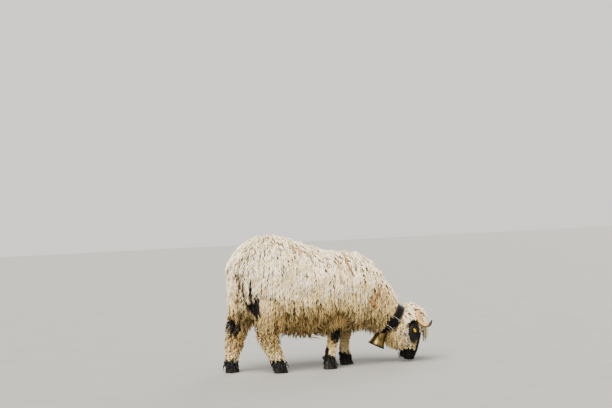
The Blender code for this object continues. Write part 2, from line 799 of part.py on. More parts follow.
def make_hoof(name, x, y, home):
    """A cloven hoof with a flat sole, its toe ahead."""
    sides = 14
    loops = []
    for z, half, back, front in HOOF:
        middle = x + (front - back) / 2
        loops.append([
            Vector((middle + math.cos(turn) * (front + back) / 2, y + math.sin(turn) * half, z))
            for turn in (2 * math.pi * k / sides for k in range(sides))
        ])
    hoof = skin(name, loops, "hoof", home)
    toe = x + HOOF[-1][3]
    boolean(hoof, [box("cleft", CLEFT, (toe - 0.004, y, 0), "hoof", home)], "DIFFERENCE")
    return hoof


def collar_arc(name, arc, inner, cuts, slot, home):
    """A block bent round the neck's right side between two angles from the nape."""
    first, last, thick, width = arc
    bm = bmesh.new()
    bmesh.ops.create_cube(bm, size=1)
    if cuts:
        long = [e for e in bm.edges if abs(e.verts[0].co.x - e.verts[1].co.x) > 0.5]
        bmesh.ops.subdivide_edges(bm, edges=long, cuts=cuts, use_grid_fill=True)
    for vert in bm.verts:
        angle = math.radians(first + (last - first) * (vert.co.x + 0.5))
        radius = inner + thick * (vert.co.z + 0.5)
        vert.co = Vector((vert.co.y * width, -radius * math.sin(angle), radius * math.cos(angle)))
    return place(new_object(name, bm, slot, home), collar_matrix())


def make_collar(neck, home):
    """The strap round the neck, its thick keeper between two metal bands, and the bell's hanger."""
    half = COLLAR_WIDTH / 2
    radius = COLLAR_RADIUS + STRAP
    ends = [(Vector((x, 0, 0)), FORWARD, RIGHT, radius, radius, radius) for x in (-half, half)]
    strap = place(loft("collar_strap", ends, 24, "leather", home), collar_matrix())
    cut_clear(strap, [neck], GAP)
    keeper = collar_arc("collar_keeper", KEEPER, radius + GAP, 4, "leather", home)
    bands = [collar_arc(name, band, radius + GAP, 0, "steel", home) for name, band in BANDS.items()]
    hanger = box("bell_hanger", HANGER, (0, 0, HANGER[2] / 2 + GAP), "leather", home)
    place(hanger, bell_matrix())
    return [strap, keeper, *bands, hanger]


def make_bell(home):
    """The bell under the collar, with a clapper inside it."""
    spot = bell_matrix()
    inside = [(r - BELL_WALL, z - (BELL_WALL if n == 0 else 0)) for n, (r, z) in enumerate(BELL)]
    bell = turned("bell", [(0, 0), *BELL, *reversed(inside), (0, -BELL_WALL)], 18, "bell_metal", home)
    top = -BELL_WALL - GAP
    rod = [(r, z + top) for r, z in CLAPPER]
    clapper = turned("bell_clapper", [(0, top), *rod, (0, rod[-1][1] - 0.001)], 10, "steel", home)
    return [place(bell, spot), place(clapper, spot)]


def half_space(matrix, edge, ahead):
    """A big block that fills the space ahead of, or behind, a plane square to x of a frame."""
    size = 3.0
    centre = (edge + (size / 2 if ahead else -size / 2), 0, 0)
    block = box("half_space", [size] * 3, centre, "fleece", bpy.context.scene.collection)
    return place(block, matrix)


def tail_sleeve():
    """A smooth block round the tail with its own locks, which keeps the trunk's locks clear of it."""
    points = [(x, y, z, half + TAIL_CLEAR, depth + TAIL_CLEAR) for x, y, z, half, depth in TAIL]
    x, y, z, half, depth = points[-1]
    points[-1] = (x, y, z - 2 * TAIL_CLEAR, half, depth)
    return loft("sleeve", limb_rings(points), 12, "fleece", bpy.context.scene.collection)


def add_locks(core, made, keepers, blocks):
    """Joins locks to their core once they are cut clear of what they would cross."""
    bunch = made[0]
    boolean_all(bunch, made[1:], "UNION")
    boolean_all(bunch, [grown(keeper, LOCK_GAP) for keeper in keepers] + blocks, "DIFFERENCE")
    boolean(core, [bunch], "UNION")


def main():
    for obj in list(bpy.data.objects):
        bpy.data.objects.remove(obj)
    home = bpy.data.collections.new("valais_blacknose_sheep")
    bpy.context.scene.collection.children.link(home)
    rng = random.Random(SEED)
    join = TORSO[-1][0]
    world = Matrix.Identity(4)
    edge = COLLAR_WIDTH / 2 + LOCK_GAP

    torso = loft("torso", torso_rings(), 16, "fleece", home)
    neck = loft("neck", neck_rings(), 16, "fleece", home)
    boolean(neck, [half_space(world, join + CORE_GAP, False)], "DIFFERENCE")
    legs = {name: loft(name, limb_rings(points), 10, "fleece", home) for name, points in LEGS.items()}
    tail = loft("tail", limb_rings(TAIL), 10, "fleece", home)
    for limb in (*legs.values(), tail):
        cut_clear(limb, [torso, neck], CORE_GAP)
    add_locks(tail, limb_locks(tail, limb_rings(TAIL), TAIL_LOCKS, rng), [torso], [])

    loose = bpy.context.scene.collection
    head = make_head(home)
    wool = loft("cheeks", cheek_rings(), 14, "fleece", loose)
    boolean(head, [wool], "UNION")
    skull = loft("skull", skull_rings(), 16, "fleece", loose)
    boolean(skull, [loft("cheeks", cheek_rings(), 14, "fleece", loose)], "UNION")
    eyes = make_eyes(home)
    horns = make_horns(home)
    ears = make_ears(home)
    for grown_out in (*horns, *ears):
        cut_clear(grown_out, [skull], CORE_GAP)
    tag = make_tag(ears[0], home)
    curls = head_locks(skull, rng)
    for piece in (skull, head, *eyes, *horns, *ears, tag, *curls):
        place(piece, head_matrix())
    cut_clear(neck, [skull], CORE_GAP)
    remove(skull)
    for ear in ears:
        cut_clear(ear, [neck], CORE_GAP)
    boolean(head, [half_space(collar_matrix(), edge, False)], "DIFFERENCE")
    collar = make_collar(neck, home)
    bell = make_bell(home)
    beside = [neck, *collar, *bell, *eyes, *horns, *ears, tag]
    cut_clear(head, eyes, GAP)
    add_locks(head, curls, beside, [half_space(collar_matrix(), edge, False)])

    ruff = body_locks(neck, neck_rings(), NECK_ROWS, NECK_LOCK, rng)
    ruff += ridge_locks(neck, neck_rings(), NECK_RIDGE, NECK_LOCK, rng)
    blocks = [half_space(collar_matrix(), -edge, True), half_space(world, join + CORE_GAP, False)]
    add_locks(neck, ruff, [*collar, *bell], blocks)

    for name, points in LEGS.items():
        x, y = points[-1][:2]
        hoof = make_hoof(name.replace("leg", "hoof"), x, y, home)
        sizes = HIND_LOCKS if name.startswith("hind") else FORE_LOCKS
        tufts = limb_locks(legs[name], limb_rings(points), sizes, rng)
        add_locks(legs[name], tufts, [hoof, torso], [])
    fleece = body_locks(torso, torso_rings(), TORSO_ROWS, TORSO_LOCK, rng)
    fleece += ridge_locks(torso, torso_rings(), TORSO_RIDGE, TORSO_LOCK, rng)
    add_locks(torso, fleece, legs.values(), [tail_sleeve(), half_space(world, join, True)])
    for obj in home.objects:
        obj.data.transform(Matrix.Translation((-MIDDLE, 0, 0)))


main()
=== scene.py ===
import json
import math
from collections import namedtuple

import bmesh
import bpy
import numpy as np
from mathutils import Matrix, Vector, noise
from mathutils.bvhtree import BVHTree

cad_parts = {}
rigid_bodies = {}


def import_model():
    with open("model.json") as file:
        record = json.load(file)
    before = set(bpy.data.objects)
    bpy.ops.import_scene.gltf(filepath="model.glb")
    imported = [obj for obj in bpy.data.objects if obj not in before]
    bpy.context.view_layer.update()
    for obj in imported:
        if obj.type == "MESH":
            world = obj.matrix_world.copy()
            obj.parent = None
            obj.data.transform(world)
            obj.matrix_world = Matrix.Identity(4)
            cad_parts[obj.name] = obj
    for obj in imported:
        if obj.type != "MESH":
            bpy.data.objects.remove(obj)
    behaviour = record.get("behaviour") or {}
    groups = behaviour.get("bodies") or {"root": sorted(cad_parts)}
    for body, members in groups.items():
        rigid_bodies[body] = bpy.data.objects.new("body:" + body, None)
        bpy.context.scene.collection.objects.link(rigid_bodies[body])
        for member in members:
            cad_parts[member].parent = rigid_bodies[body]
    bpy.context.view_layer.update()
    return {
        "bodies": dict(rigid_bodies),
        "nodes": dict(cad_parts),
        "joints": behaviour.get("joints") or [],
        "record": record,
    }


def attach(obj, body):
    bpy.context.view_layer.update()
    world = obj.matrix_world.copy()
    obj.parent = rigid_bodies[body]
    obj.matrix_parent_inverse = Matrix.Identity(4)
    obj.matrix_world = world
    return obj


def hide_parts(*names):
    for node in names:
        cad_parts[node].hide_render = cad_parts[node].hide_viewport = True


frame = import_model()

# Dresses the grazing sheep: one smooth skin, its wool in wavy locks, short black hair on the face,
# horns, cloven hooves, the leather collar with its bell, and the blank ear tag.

FLESH = ["torso", "neck", "head", "tail", "ear_right", "ear_left",
         "foreleg_right", "foreleg_left", "hindleg_right", "hindleg_left"]
# Groove between the tail and each thigh: x, y, z, reach
GROOVE = [(-0.634, 0.100, 0.760, 0.012), (-0.622, 0.118, 0.671, 0.018), (-0.606, 0.122, 0.561, 0.028),
          (-0.578, 0.120, 0.478, 0.040), (-0.560, 0.105, 0.410, 0.045)]
SEED = 5
SAMPLES = 70000
PATCH = 0.003

# Trunk under its coat: x, top, bottom, half width
TORSO = [
    (-0.648, 0.705, 0.600, 0.045), (-0.632, 0.768, 0.530, 0.100), (-0.598, 0.815, 0.468, 0.145),
    (-0.540, 0.858, 0.425, 0.180), (-0.440, 0.893, 0.392, 0.202), (-0.330, 0.880, 0.358, 0.212),
    (-0.210, 0.838, 0.332, 0.216), (-0.090, 0.795, 0.328, 0.210), (0.020, 0.764, 0.336, 0.196),
    (0.110, 0.760, 0.340, 0.180), (0.200, 0.748, 0.334, 0.162), (0.250, 0.690, 0.360, 0.140),
]
# Neck: x, z, half depth, half width, tilt of its axis below level in degrees
NECK = [
    (0.130, 0.550, 0.200, 0.160, 0.0), (0.190, 0.541, 0.207, 0.164, 0.0),
    (0.272, 0.492, 0.172, 0.140, 12.0), (0.335, 0.430, 0.130, 0.112, 24.0),
    (0.383, 0.377, 0.108, 0.097, 33.0), (0.4219, 0.3343, 0.0957, 0.090, 36.4),
    (0.4749, 0.2953, 0.0957, 0.090, 36.4), (0.512, 0.268, 0.088, 0.082, 44.0),
    (0.570, 0.225, 0.074, 0.070, 60.0),
]
# Collar: middle of its ring, tilt, width, inner radius and the strap's section
COLLAR_CENTRE = Vector((0.4484, 0.0, 0.3148))
COLLAR_TILT = 36.4
COLLAR_WIDTH = 0.056
COLLAR_RADIUS = 0.0960
STRAP = 0.005
# Bell: top of its hanger in the collar's frame and its swing in degrees
BELL_SPOT = (-0.004, 0, -0.132)
BELL_TURN = -8.8
# Head: its own frame has x to the nose, y left, z to the brow
POLL = Vector((0.601, 0.015, 0.305))
HEAD_PITCH = 96.0
HEAD_YAW = 3.0
# Skull: x, top, bottom, half width
SKULL = [
    (-0.036, 0.022, -0.054, 0.030), (-0.022, 0.044, -0.080, 0.044), (0.010, 0.058, -0.098, 0.054),
    (0.045, 0.064, -0.108, 0.068), (0.080, 0.064, -0.108, 0.079), (0.110, 0.060, -0.100, 0.070),
    (0.145, 0.055, -0.094, 0.058), (0.180, 0.050, -0.086, 0.051), (0.215, 0.043, -0.079, 0.047),
    (0.245, 0.034, -0.071, 0.046), (0.272, 0.021, -0.061, 0.042), (0.289, 0.004, -0.050, 0.033),
    (0.297, -0.014, -0.039, 0.018),
]
# Woolly cheeks and poll: x, middle height, half height, half width
CHEEKS = [
    (-0.060, -0.014, 0.012, 0.014), (-0.052, -0.018, 0.044, 0.040), (-0.030, -0.026, 0.072, 0.060),
    (0.010, -0.036, 0.096, 0.072), (0.050, -0.060, 0.102, 0.088), (0.084, -0.091, 0.085, 0.088),
    (0.125, -0.102, 0.075, 0.078), (0.160, -0.102, 0.058, 0.064), (0.190, -0.090, 0.036, 0.044),
    (0.204, -0.080, 0.016, 0.026),
]
EYE = Vector((0.095, 0.0625, 0.018))
EYE_RADIUS = 0.0145
GAZE = (0.10, 1.0, 0.12)
# Ear: to the nose, sideways, to the brow, half width, depth of its cup
EAR = [
    (0.032, 0.046, -0.024, 0.013, 0.006), (0.040, 0.058, -0.026, 0.014, 0.010),
    (0.054, 0.094, -0.030, 0.025, 0.015), (0.076, 0.124, -0.039, 0.035, 0.018),
    (0.106, 0.140, -0.047, 0.037, 0.014), (0.138, 0.146, -0.053, 0.024, 0.008),
    (0.157, 0.146, -0.057, 0.008, 0.003),
]
EAR_THICK = 0.0034
TAG_ROW, TAG_ROWS = 117, 201
# Horn: to the nose, sideways, to the brow, radius
HORN = [
    (-0.022, 0.036, 0.016, 0.0220), (-0.026, 0.066, 0.004, 0.0230), (0.000, 0.092, 0.003, 0.0220),
    (0.034, 0.112, 0.018, 0.0200), (0.052, 0.133, 0.044, 0.0172), (0.042, 0.150, 0.066, 0.0125),
    (0.012, 0.158, 0.078, 0.0030),
]
# Legs: x, y, z, half width, half depth
LEGS = {
    "foreleg_right": [
        (0.020, -0.088, 0.445, 0.050, 0.062), (0.006, -0.092, 0.340, 0.040, 0.048),
        (-0.002, -0.094, 0.270, 0.034, 0.039), (-0.006, -0.095, 0.225, 0.033, 0.037),
        (-0.016, -0.095, 0.175, 0.025, 0.028), (-0.030, -0.095, 0.115, 0.025, 0.029),
        (-0.040, -0.095, 0.078, 0.026, 0.031), (-0.043, -0.095, 0.044, 0.026, 0.031),
    ],
    "foreleg_left": [
        (0.140, 0.088, 0.445, 0.050, 0.058), (0.138, 0.092, 0.340, 0.040, 0.048),
        (0.136, 0.094, 0.270, 0.034, 0.039), (0.134, 0.095, 0.225, 0.033, 0.037),
        (0.126, 0.095, 0.175, 0.025, 0.028), (0.120, 0.095, 0.115, 0.025, 0.029),
        (0.124, 0.095, 0.078, 0.026, 0.031), (0.128, 0.095, 0.044, 0.026, 0.031),
    ],
    "hindleg_right": [
        (-0.445, -0.100, 0.500, 0.070, 0.105), (-0.450, -0.108, 0.400, 0.054, 0.078),
        (-0.462, -0.110, 0.330, 0.040, 0.056), (-0.470, -0.110, 0.275, 0.034, 0.046),
        (-0.450, -0.110, 0.215, 0.030, 0.038), (-0.425, -0.110, 0.150, 0.029, 0.036),
        (-0.405, -0.110, 0.100, 0.029, 0.035), (-0.394, -0.110, 0.074, 0.028, 0.033),
        (-0.388, -0.110, 0.044, 0.026, 0.031),
    ],
    "hindleg_left": [
        (-0.545, 0.100, 0.520, 0.066, 0.092), (-0.565, 0.106, 0.420, 0.054, 0.074),
        (-0.600, 0.108, 0.345, 0.040, 0.054), (-0.625, 0.108, 0.290, 0.034, 0.045),
        (-0.640, 0.108, 0.225, 0.030, 0.036), (-0.655, 0.108, 0.155, 0.029, 0.035),
        (-0.668, 0.108, 0.100, 0.029, 0.034), (-0.672, 0.108, 0.074, 0.028, 0.033),
        (-0.674, 0.108, 0.044, 0.026, 0.031),
    ],
}
TAIL = [
    (-0.580, 0.0, 0.745, 0.034, 0.030), (-0.634, 0.0, 0.690, 0.036, 0.028),
    (-0.654, 0.0, 0.610, 0.034, 0.022), (-0.658, 0.0, 0.520, 0.030, 0.020),
    (-0.657, 0.0, 0.440, 0.024, 0.017), (-0.655, 0.0, 0.405, 0.012, 0.010),
]
BODY_VOXEL = 0.0075
HEAD_VOXEL = 0.0032
GROOVE_DEPTH = 0.022
# Height where the wool begins above the claws
COAT_START = 0.046
# Camera: degrees round to the rump and rolled with the slope, its distance and the height it looks at
CAMERA_TURN, CAMERA_ROLL = 15.0, 2.5
CAMERA_REACH, CAMERA_HEIGHT = 9.2, 1.113

HANDS = (("right", -1), ("left", 1))
RIGHT = Vector((0, -1, 0))
UP = Vector((0, 0, 1))
SCENE = bpy.context.scene
SCENE.view_settings.look = "AgX - Medium High Contrast"


def paint(red, green, blue):
    """A linear colour from an 8-bit display one."""
    shares = [v / 255 for v in (red, green, blue)]
    return (*[v / 12.92 if v <= 0.04045 else ((v + 0.055) / 1.055) ** 2.4 for v in shares], 1.0)


CREAM = paint(255, 246, 224)
FLANK = paint(240, 218, 168)
# Stained wool, also the colour of the painted shade low on the body and at the roots
STAIN_AND_SHADE = paint(172, 146, 96)
OCHRE = paint(158, 106, 30)
MUD = paint(62, 50, 38)
BLACK = paint(9, 7, 6)
BLACK_TIP = paint(26, 18, 13)


# Meshes

def unit(vectors):
    """Vectors of an array at length one."""
    size = np.linalg.norm(vectors, axis=-1, keepdims=True)
    return vectors / np.maximum(size, 1e-12)


def resample(rows, count):
    """Rows of numbers read along a smooth curve through them."""
    rows = np.array(rows, float)
    t = np.linspace(0, len(rows) - 1, count)
    k = np.minimum(t.astype(int), len(rows) - 2)
    f = (t - k)[:, None]
    a, b = rows[np.maximum(k - 1, 0)], rows[k]
    c, d = rows[k + 1], rows[np.minimum(k + 2, len(rows) - 1)]
    bend = (2 * a - 5 * b + 4 * c - d) * f**2 + (3 * b - a - 3 * c + d) * f**3
    return b + ((c - a) * f + bend) * 0.5


def ring_loops(centres, axes, half, above, below, sides, side=RIGHT):
    """Loops of points round a line of centres; above and below are its reaches up and down."""
    axes = unit(np.array(axes, float))
    ups = unit(np.cross(np.array(side, float), axes))
    across = np.cross(axes, ups)
    turns = 2 * np.pi * (np.arange(sides) + 0.5) / sides
    high = np.sin(turns)
    tall = np.where(high > 0, np.array(above)[:, None], np.array(below)[:, None]) * high
    wide = np.array(half)[:, None] * np.cos(turns)
    return np.array(centres)[:, None] + across[:, None] * wide[..., None] + ups[:, None] * tall[..., None]


def skin_over(loops):
    """Points and faces of a closed skin over loops, capped at both ends."""
    count, sides = loops.shape[:2]
    faces = []
    for n in range(count - 1):
        for k in range(sides):
            m = (k + 1) % sides
            faces.append((n * sides + k, n * sides + m, (n + 1) * sides + m, (n + 1) * sides + k))
    faces.append(tuple(range(sides))[::-1])
    faces.append(tuple(range((count - 1) * sides, count * sides)))
    return loops.reshape(-1, 3), faces


def new_piece(name, points, faces, smooth=True):
    """An object of its own mesh, at the origin, with outward faces."""
    mesh = bpy.data.meshes.new(name)
    mesh.from_pydata([tuple(p) for p in points], [], faces)
    bm = bmesh.new()
    bm.from_mesh(mesh)
    bmesh.ops.recalc_face_normals(bm, faces=bm.faces)
    if bm.calc_volume(signed=True) < 0:
        bmesh.ops.reverse_faces(bm, faces=bm.faces)
    bm.to_mesh(mesh)
    bm.free()
    mesh.polygons.foreach_set("use_smooth", [smooth] * len(mesh.polygons))
    piece = bpy.data.objects.new(name, mesh)
    SCENE.collection.objects.link(piece)
    return piece


def gathered(forms):
    """Points and faces of several forms as one."""
    points, faces = [], []
    for some, of_them in forms:
        faces.extend([tuple(i + len(points) for i in face) for face in of_them])
        points.extend(map(tuple, some))
    return points, faces


def joined(name, forms):
    """One object from several forms."""
    return new_piece(name, *gathered(forms))


def settle(piece):
    """Replaces the mesh by its evaluated copy and drops the modifiers."""
    bpy.context.view_layer.update()
    made = bpy.data.meshes.new_from_object(piece.evaluated_get(bpy.context.evaluated_depsgraph_get()))
    piece.modifiers.clear()
    old, piece.data = piece.data, made
    bpy.data.meshes.remove(old)
    return piece


def remeshed(piece, voxel, rounds):
    """One even skin round overlapping closed forms, smoothed."""
    step = piece.modifiers.new("even", "REMESH")
    step.mode = "VOXEL"
    step.voxel_size = voxel
    step.use_smooth_shade = True
    relax = piece.modifiers.new("relax", "SMOOTH")
    relax.factor = 0.5
    relax.iterations = rounds
    return settle(piece)


def united(piece, other):
    """The union with another closed piece, which then goes."""
    step = piece.modifiers.new("join", "BOOLEAN")
    step.operation = "UNION"
    step.object = other
    step.solver = "MANIFOLD"
    settle(piece)
    bpy.data.objects.remove(other)
    return piece


def numbers_of(items, name):
    """Three numbers for each of a mesh's items as an array."""
    values = np.empty(len(items) * 3)
    items.foreach_get(name, values)
    return values.reshape(-1, 3)


def places(piece):
    """A mesh's points."""
    return numbers_of(piece.data.vertices, "co")


def facings(piece):
    """A mesh's point normals."""
    return numbers_of(piece.data.vertex_normals, "vector")


def set_places(piece, points):
    """Writes a mesh's points."""
    piece.data.vertices.foreach_set("co", points.ravel())
    piece.data.update()


def put(piece, matrix):
    """Writes a placement into the mesh."""
    piece.data.transform(matrix)
    return piece


def moved(points, matrix):
    """Points of an array through a placement."""
    m = np.array(matrix)
    return points @ m[:3, :3].T + m[:3, 3]


def keep_attribute(piece, name, values):
    """Stores one number for each point."""
    layer = piece.data.attributes.get(name) or piece.data.attributes.new(name, "FLOAT", "POINT")
    layer.data.foreach_set("value", np.asarray(values, np.float32).ravel())


def frame_at(place, pitch, yaw=0.0):
    """A frame with its x axis turned aside and then tipped down, in degrees."""
    turn = Matrix.Rotation(math.radians(yaw), 4, "Z")
    return Matrix.Translation(place) @ turn @ Matrix.Rotation(math.radians(pitch), 4, "Y")


HEAD = frame_at(POLL, HEAD_PITCH, HEAD_YAW)
COLLAR = frame_at(COLLAR_CENTRE, COLLAR_TILT)
BELL_FRAME = COLLAR @ frame_at(BELL_SPOT, BELL_TURN)


# Forms of the body

def level_form(x, middle, above, below, half, sides):
    """A form along x from its middle line and its reaches up, down and aside."""
    centres = np.stack([x, x * 0, middle], axis=1)
    axes = np.tile([1.0, 0, 0], (len(x), 1))
    return skin_over(ring_loops(centres, axes, half, above, below, sides))


def torso_form(count=60, sides=48):
    x, top, bottom, half = resample(TORSO, count).T
    middle = bottom + 0.52 * (top - bottom)
    return level_form(x, middle, top - middle, middle - bottom, half, sides)


def neck_form(count=50, sides=40):
    x, z, depth, half, tilt = resample(NECK, count).T
    lean = np.radians(tilt)
    axes = np.stack([np.cos(lean), lean * 0, -np.sin(lean)], axis=1)
    return skin_over(ring_loops(np.stack([x, x * 0, z], axis=1), axes, half, depth, depth, sides))


def limb_form(rows, count=48, sides=24):
    x, y, z, half, depth = resample(rows, count).T
    centres = np.stack([x, y, z], axis=1)
    axes = np.gradient(centres, axis=0)
    axes[-1] = (0, 0, -1)
    return skin_over(ring_loops(centres, axes, half, depth, depth, sides))


def skull_form(count=70, sides=48):
    x, top, bottom, half = resample(SKULL, count).T
    return level_form(x, x * 0, top, -bottom, half, sides)


def cheek_form(count=40, sides=40):
    x, z, tall, half = resample(CHEEKS, count).T
    return level_form(x, z, tall, tall, half, sides)


def ball_form(centre, sizes, count=14, sides=20):
    turns = np.linspace(0.02, np.pi - 0.02, count)
    centres = np.array(centre) + np.outer(-np.cos(turns) * sizes[0], [1, 0, 0])
    axes = np.tile([1.0, 0, 0], (count, 1))
    ring = np.sin(turns)
    wide, tall = ring * sizes[1], ring * sizes[2]
    return skin_over(ring_loops(centres, axes, wide, tall, tall, sides))


def ear_rows(sign, count):
    """Middle, across and out vectors, half width and cup along an ear, in the head's frame."""
    x, y, z, half, cup = resample(EAR, count).T
    middle = np.stack([x, sign * y, z], axis=1)
    axis = unit(np.gradient(middle, axis=0))
    up = unit(np.cross(np.array([-0.2, 0, -1.0]), axis))
    across = unit(np.cross(axis, up))
    out = up * np.where(up[:, 1:2] * sign > 0, 1, -1)
    return middle, across, out, half, cup


def ear_form(sign, count=26, spread=9):
    middle, across, out, half, cup = ear_rows(sign, count)
    u = np.linspace(-1, 1, spread)
    bow = cup[:, None] * (1 - u**2)
    faces = []
    for narrow, thick in ((1.0, EAR_THICK), (0.96, -EAR_THICK)):
        aside = across[:, None] * (half[:, None] * u * narrow)[..., None]
        faces.append(middle[:, None] + aside + out[:, None] * (bow + thick)[..., None])
    return skin_over(np.concatenate([faces[0], faces[1][:, ::-1]], axis=1))


def press(points, out, path, width, depth):
    """Moves points in, or out where depth is negative, along a path."""
    nearest = np.full(len(points), 1.0)
    for a, b in zip(path, path[1:]):
        a, b = np.array(a, float), np.array(b, float)
        run = b - a
        t = np.clip((points - a) @ run / max(run @ run, 1e-12), 0, 1)
        nearest = np.minimum(nearest, np.linalg.norm(points - a - t[:, None] * run, axis=1))
    return points - out * (depth * np.exp(-((nearest / width) ** 2)))[:, None]


NOSTRIL = [(0.289, 0.007, -0.003), (0.293, 0.015, 0.004), (0.288, 0.025, 0.012), (0.279, 0.031, 0.014)]
MOUTH = [(0.222, 0.040, -0.034), (0.244, 0.040, -0.030), (0.266, 0.036, -0.028), (0.282, 0.028, -0.027),
         (0.293, 0.012, -0.026)]
CREST = [(0.105, 0.068, -0.008), (0.150, 0.056, -0.014), (0.200, 0.046, -0.018)]
BROW = [(0.070, 0.060, 0.036), (0.092, 0.064, 0.041), (0.116, 0.060, 0.036)]
BRIDGE = [(0.135, 0.020, 0.052), (0.190, 0.020, 0.044), (0.240, 0.018, 0.033)]
LID_REACH = (0.0135, 0.0098)


# Folds of the face: path, width, depth, which is negative where the form stands out
FOLDS = [
    (CREST, 0.013, -0.0035), (BROW, 0.011, -0.0055), (BRIDGE, 0.010, -0.002),
    (NOSTRIL, 0.0105, -0.0042), (NOSTRIL, 0.0042, 0.0135),
    ([(x, y, z + 0.008) for x, y, z in MOUTH], 0.0065, -0.0026),
    ([(x - 0.002, y, z - 0.008) for x, y, z in MOUTH], 0.0062, -0.0024), (MOUTH, 0.0030, 0.0062),
]
PHILTRUM = [(0.299, 0, -0.004), (0.300, 0, -0.024)]


def shape_face(head):
    """Brows, facial crest, nostrils, lips, mouth line, philtrum and the lids round each eye."""
    points = places(head)
    out = facings(head)
    for side in (1, -1):
        for path, width, depth in FOLDS:
            points = press(points, out, [(x, side * y, z) for x, y, z in path], width, depth)
    points = press(points, out, PHILTRUM, 0.0028, 0.0040)
    for _, sign in HANDS:
        points = open_lids(points, sign)
    set_places(head, points)


def open_lids(points, sign):
    """Raises two lids over the eyeball and sinks what is between them behind it."""
    middle = np.array((EYE.x, sign * EYE.y, EYE.z))
    out = unit(np.array(GAZE) * (1, sign, 1))
    long = unit(np.array((1.0, -0.10 * sign, -0.20)))
    tall = np.cross(out, long)
    rel = points - middle
    a, b, h = rel @ long, rel @ tall, rel @ out
    near = (h > 0) & (np.hypot(a, b) < 0.034)
    reach = np.sqrt((a / LID_REACH[0]) ** 2 + (b / LID_REACH[1]) ** 2)
    ball = np.sqrt(np.maximum(EYE_RADIUS**2 - a**2 - b**2, 0))
    rim = np.exp(-(((reach - 1.18) / 0.26) ** 2))
    lift = np.maximum(ball + 0.0028 - h, 0) * rim + 0.0016 * rim
    sink = np.where(reach < 0.96, 0.014 * (1 - (reach / 0.96) ** 4), 0)
    fold = 0.0016 * np.exp(-(((reach - 1.85) / 0.16) ** 2))
    return points + np.where(near, lift - sink - fold, 0)[:, None] * out


def groove_share(points):
    """How near points are to the groove beside the tail, 0 to 1."""
    share = np.zeros(len(points))
    folded = points * (1, 0, 1) + np.abs(points) * (0, 1, 0)
    for x, y, z, reach in resample(GROOVE, 24):
        share = np.maximum(share, np.exp(-((np.linalg.norm(folded - (x, y, z), axis=1) / reach) ** 2)))
    return share


def make_skin():
    """The whole body's skin in one closed mesh."""
    limbs = [limb_form(rows) for rows in (TAIL, *LEGS.values())]
    body = joined("body", [torso_form(), neck_form(), *limbs])
    remeshed(body, BODY_VOXEL, 6)
    set_places(body, places(body) - facings(body) * (GROOVE_DEPTH * groove_share(places(body)))[:, None])
    parts = [skull_form(), cheek_form(), ball_form((0.256, 0, -0.062), (0.028, 0.027, 0.018))]
    for sign in (-1, 1):
        parts.append(ball_form((0.279, sign * 0.017, 0.004), (0.015, 0.016, 0.015)))
        parts.append(ear_form(sign))
    head = joined("head_skin", parts)
    remeshed(head, HEAD_VOXEL, 5)
    shape_face(head)
    put(head, HEAD)
    united(body, head)
    body.name = body.data.name = "skin"
    body.data.polygons.foreach_set("use_smooth", [True] * len(body.data.polygons))
    return body


# Markings

# Black wool, and painted shade beside the tail: middle, reach along x, y and z
BLACK_PATCHES = [
    ((-0.652, 0.100, 0.305), (0.052, 0.070, 0.078)),
    ((-0.515, -0.108, 0.300), (0.034, 0.050, 0.046)),
    # These three rows beside the tail are dark wool with painted shade in the recess between the tail and the
    # thighs
    ((-0.556, -0.150, 0.455), (0.036, 0.080, 0.095)),
    ((-0.585, -0.160, 0.560), (0.014, 0.080, 0.080)),
    ((-0.556, 0.150, 0.450), (0.034, 0.080, 0.082)),
    ((0.004, -0.105, 0.225), (0.040, 0.050, 0.058)),
    ((0.138, 0.095, 0.275), (0.045, 0.045, 0.075)),
    ((-0.072, -0.095, 0.125), (0.030, 0.040, 0.040)),
]
# Streaks on the right side: ends (x, z), reach, strength
OCHRE_STREAKS = [
    ((-0.278, 0.827), (-0.153, 0.766), 0.014, 0.80), ((-0.300, 0.800), (-0.240, 0.760), 0.010, 0.60),
    ((0.089, 0.764), (0.105, 0.640), 0.009, 0.95), ((0.150, 0.700), (0.155, 0.600), 0.008, 0.70),
    ((0.040, 0.720), (0.030, 0.610), 0.009, 0.70), ((0.337, 0.545), (0.267, 0.417), 0.013, 1.20),
    ((0.300, 0.560), (0.240, 0.430), 0.009, 0.90), ((0.355, 0.500), (0.320, 0.420), 0.009, 0.90),
    ((-0.640, 0.640), (-0.645, 0.500), 0.020, 0.55), ((-0.050, 0.740), (-0.055, 0.600), 0.008, 0.60),
]
MUD_LINE = [(-0.655, 0.640), (-0.640, 0.715), (-0.590, 0.770), (-0.527, 0.798), (-0.444, 0.751),
            (-0.337, 0.662)]


def near_line(x, z, path):
    """Distance in the side view from a path."""
    best = np.full(len(x), 9.0)
    for (ax, az), (bx, bz) in zip(path, path[1:]):
        run = np.array((bx - ax, bz - az))
        t = np.clip(((x - ax) * run[0] + (z - az) * run[1]) / (run @ run), 0, 1)
        best = np.minimum(best, np.hypot(x - ax - t * run[0], z - az - t * run[1]))
    return best


def ramp(values, low, high):
    """0 below low, 1 above high and smooth between."""
    t = np.clip((values - low) / (high - low), 0, 1)
    return t * t * (3 - 2 * t)


def speckle(points, scale, seed=0.0):
    """Smooth noise from 0 to 1 at each point."""
    shift = Vector((seed, seed * 1.7, -seed))
    return np.array([noise.noise(Vector(p) * scale + shift) for p in points]) * 0.5 + 0.5


def in_head(points):
    """Points in the head's own frame."""
    return moved(points, HEAD.inverted())


def in_collar(points):
    """Points in the collar's own frame."""
    return moved(points, COLLAR.inverted())


def beside_eye(local):
    """Places as seen from the nearer eye, in the head's frame."""
    side = np.sign(local[:, 1])
    return local - np.stack([np.full(len(local), EYE.x), side * EYE.y, np.full(len(local), EYE.z)], axis=1)


def ear_share(local):
    """How far points belong to an ear."""
    share = np.zeros(len(local))
    for n in np.flatnonzero((np.abs(local[:, 1]) > 0.07) & (local[:, 0] < 0.17)):
        sign = 1 if local[n, 1] > 0 else -1
        share[n] = EAR_TREES[sign].find_nearest(local[n])[3] < 0.006
    return share


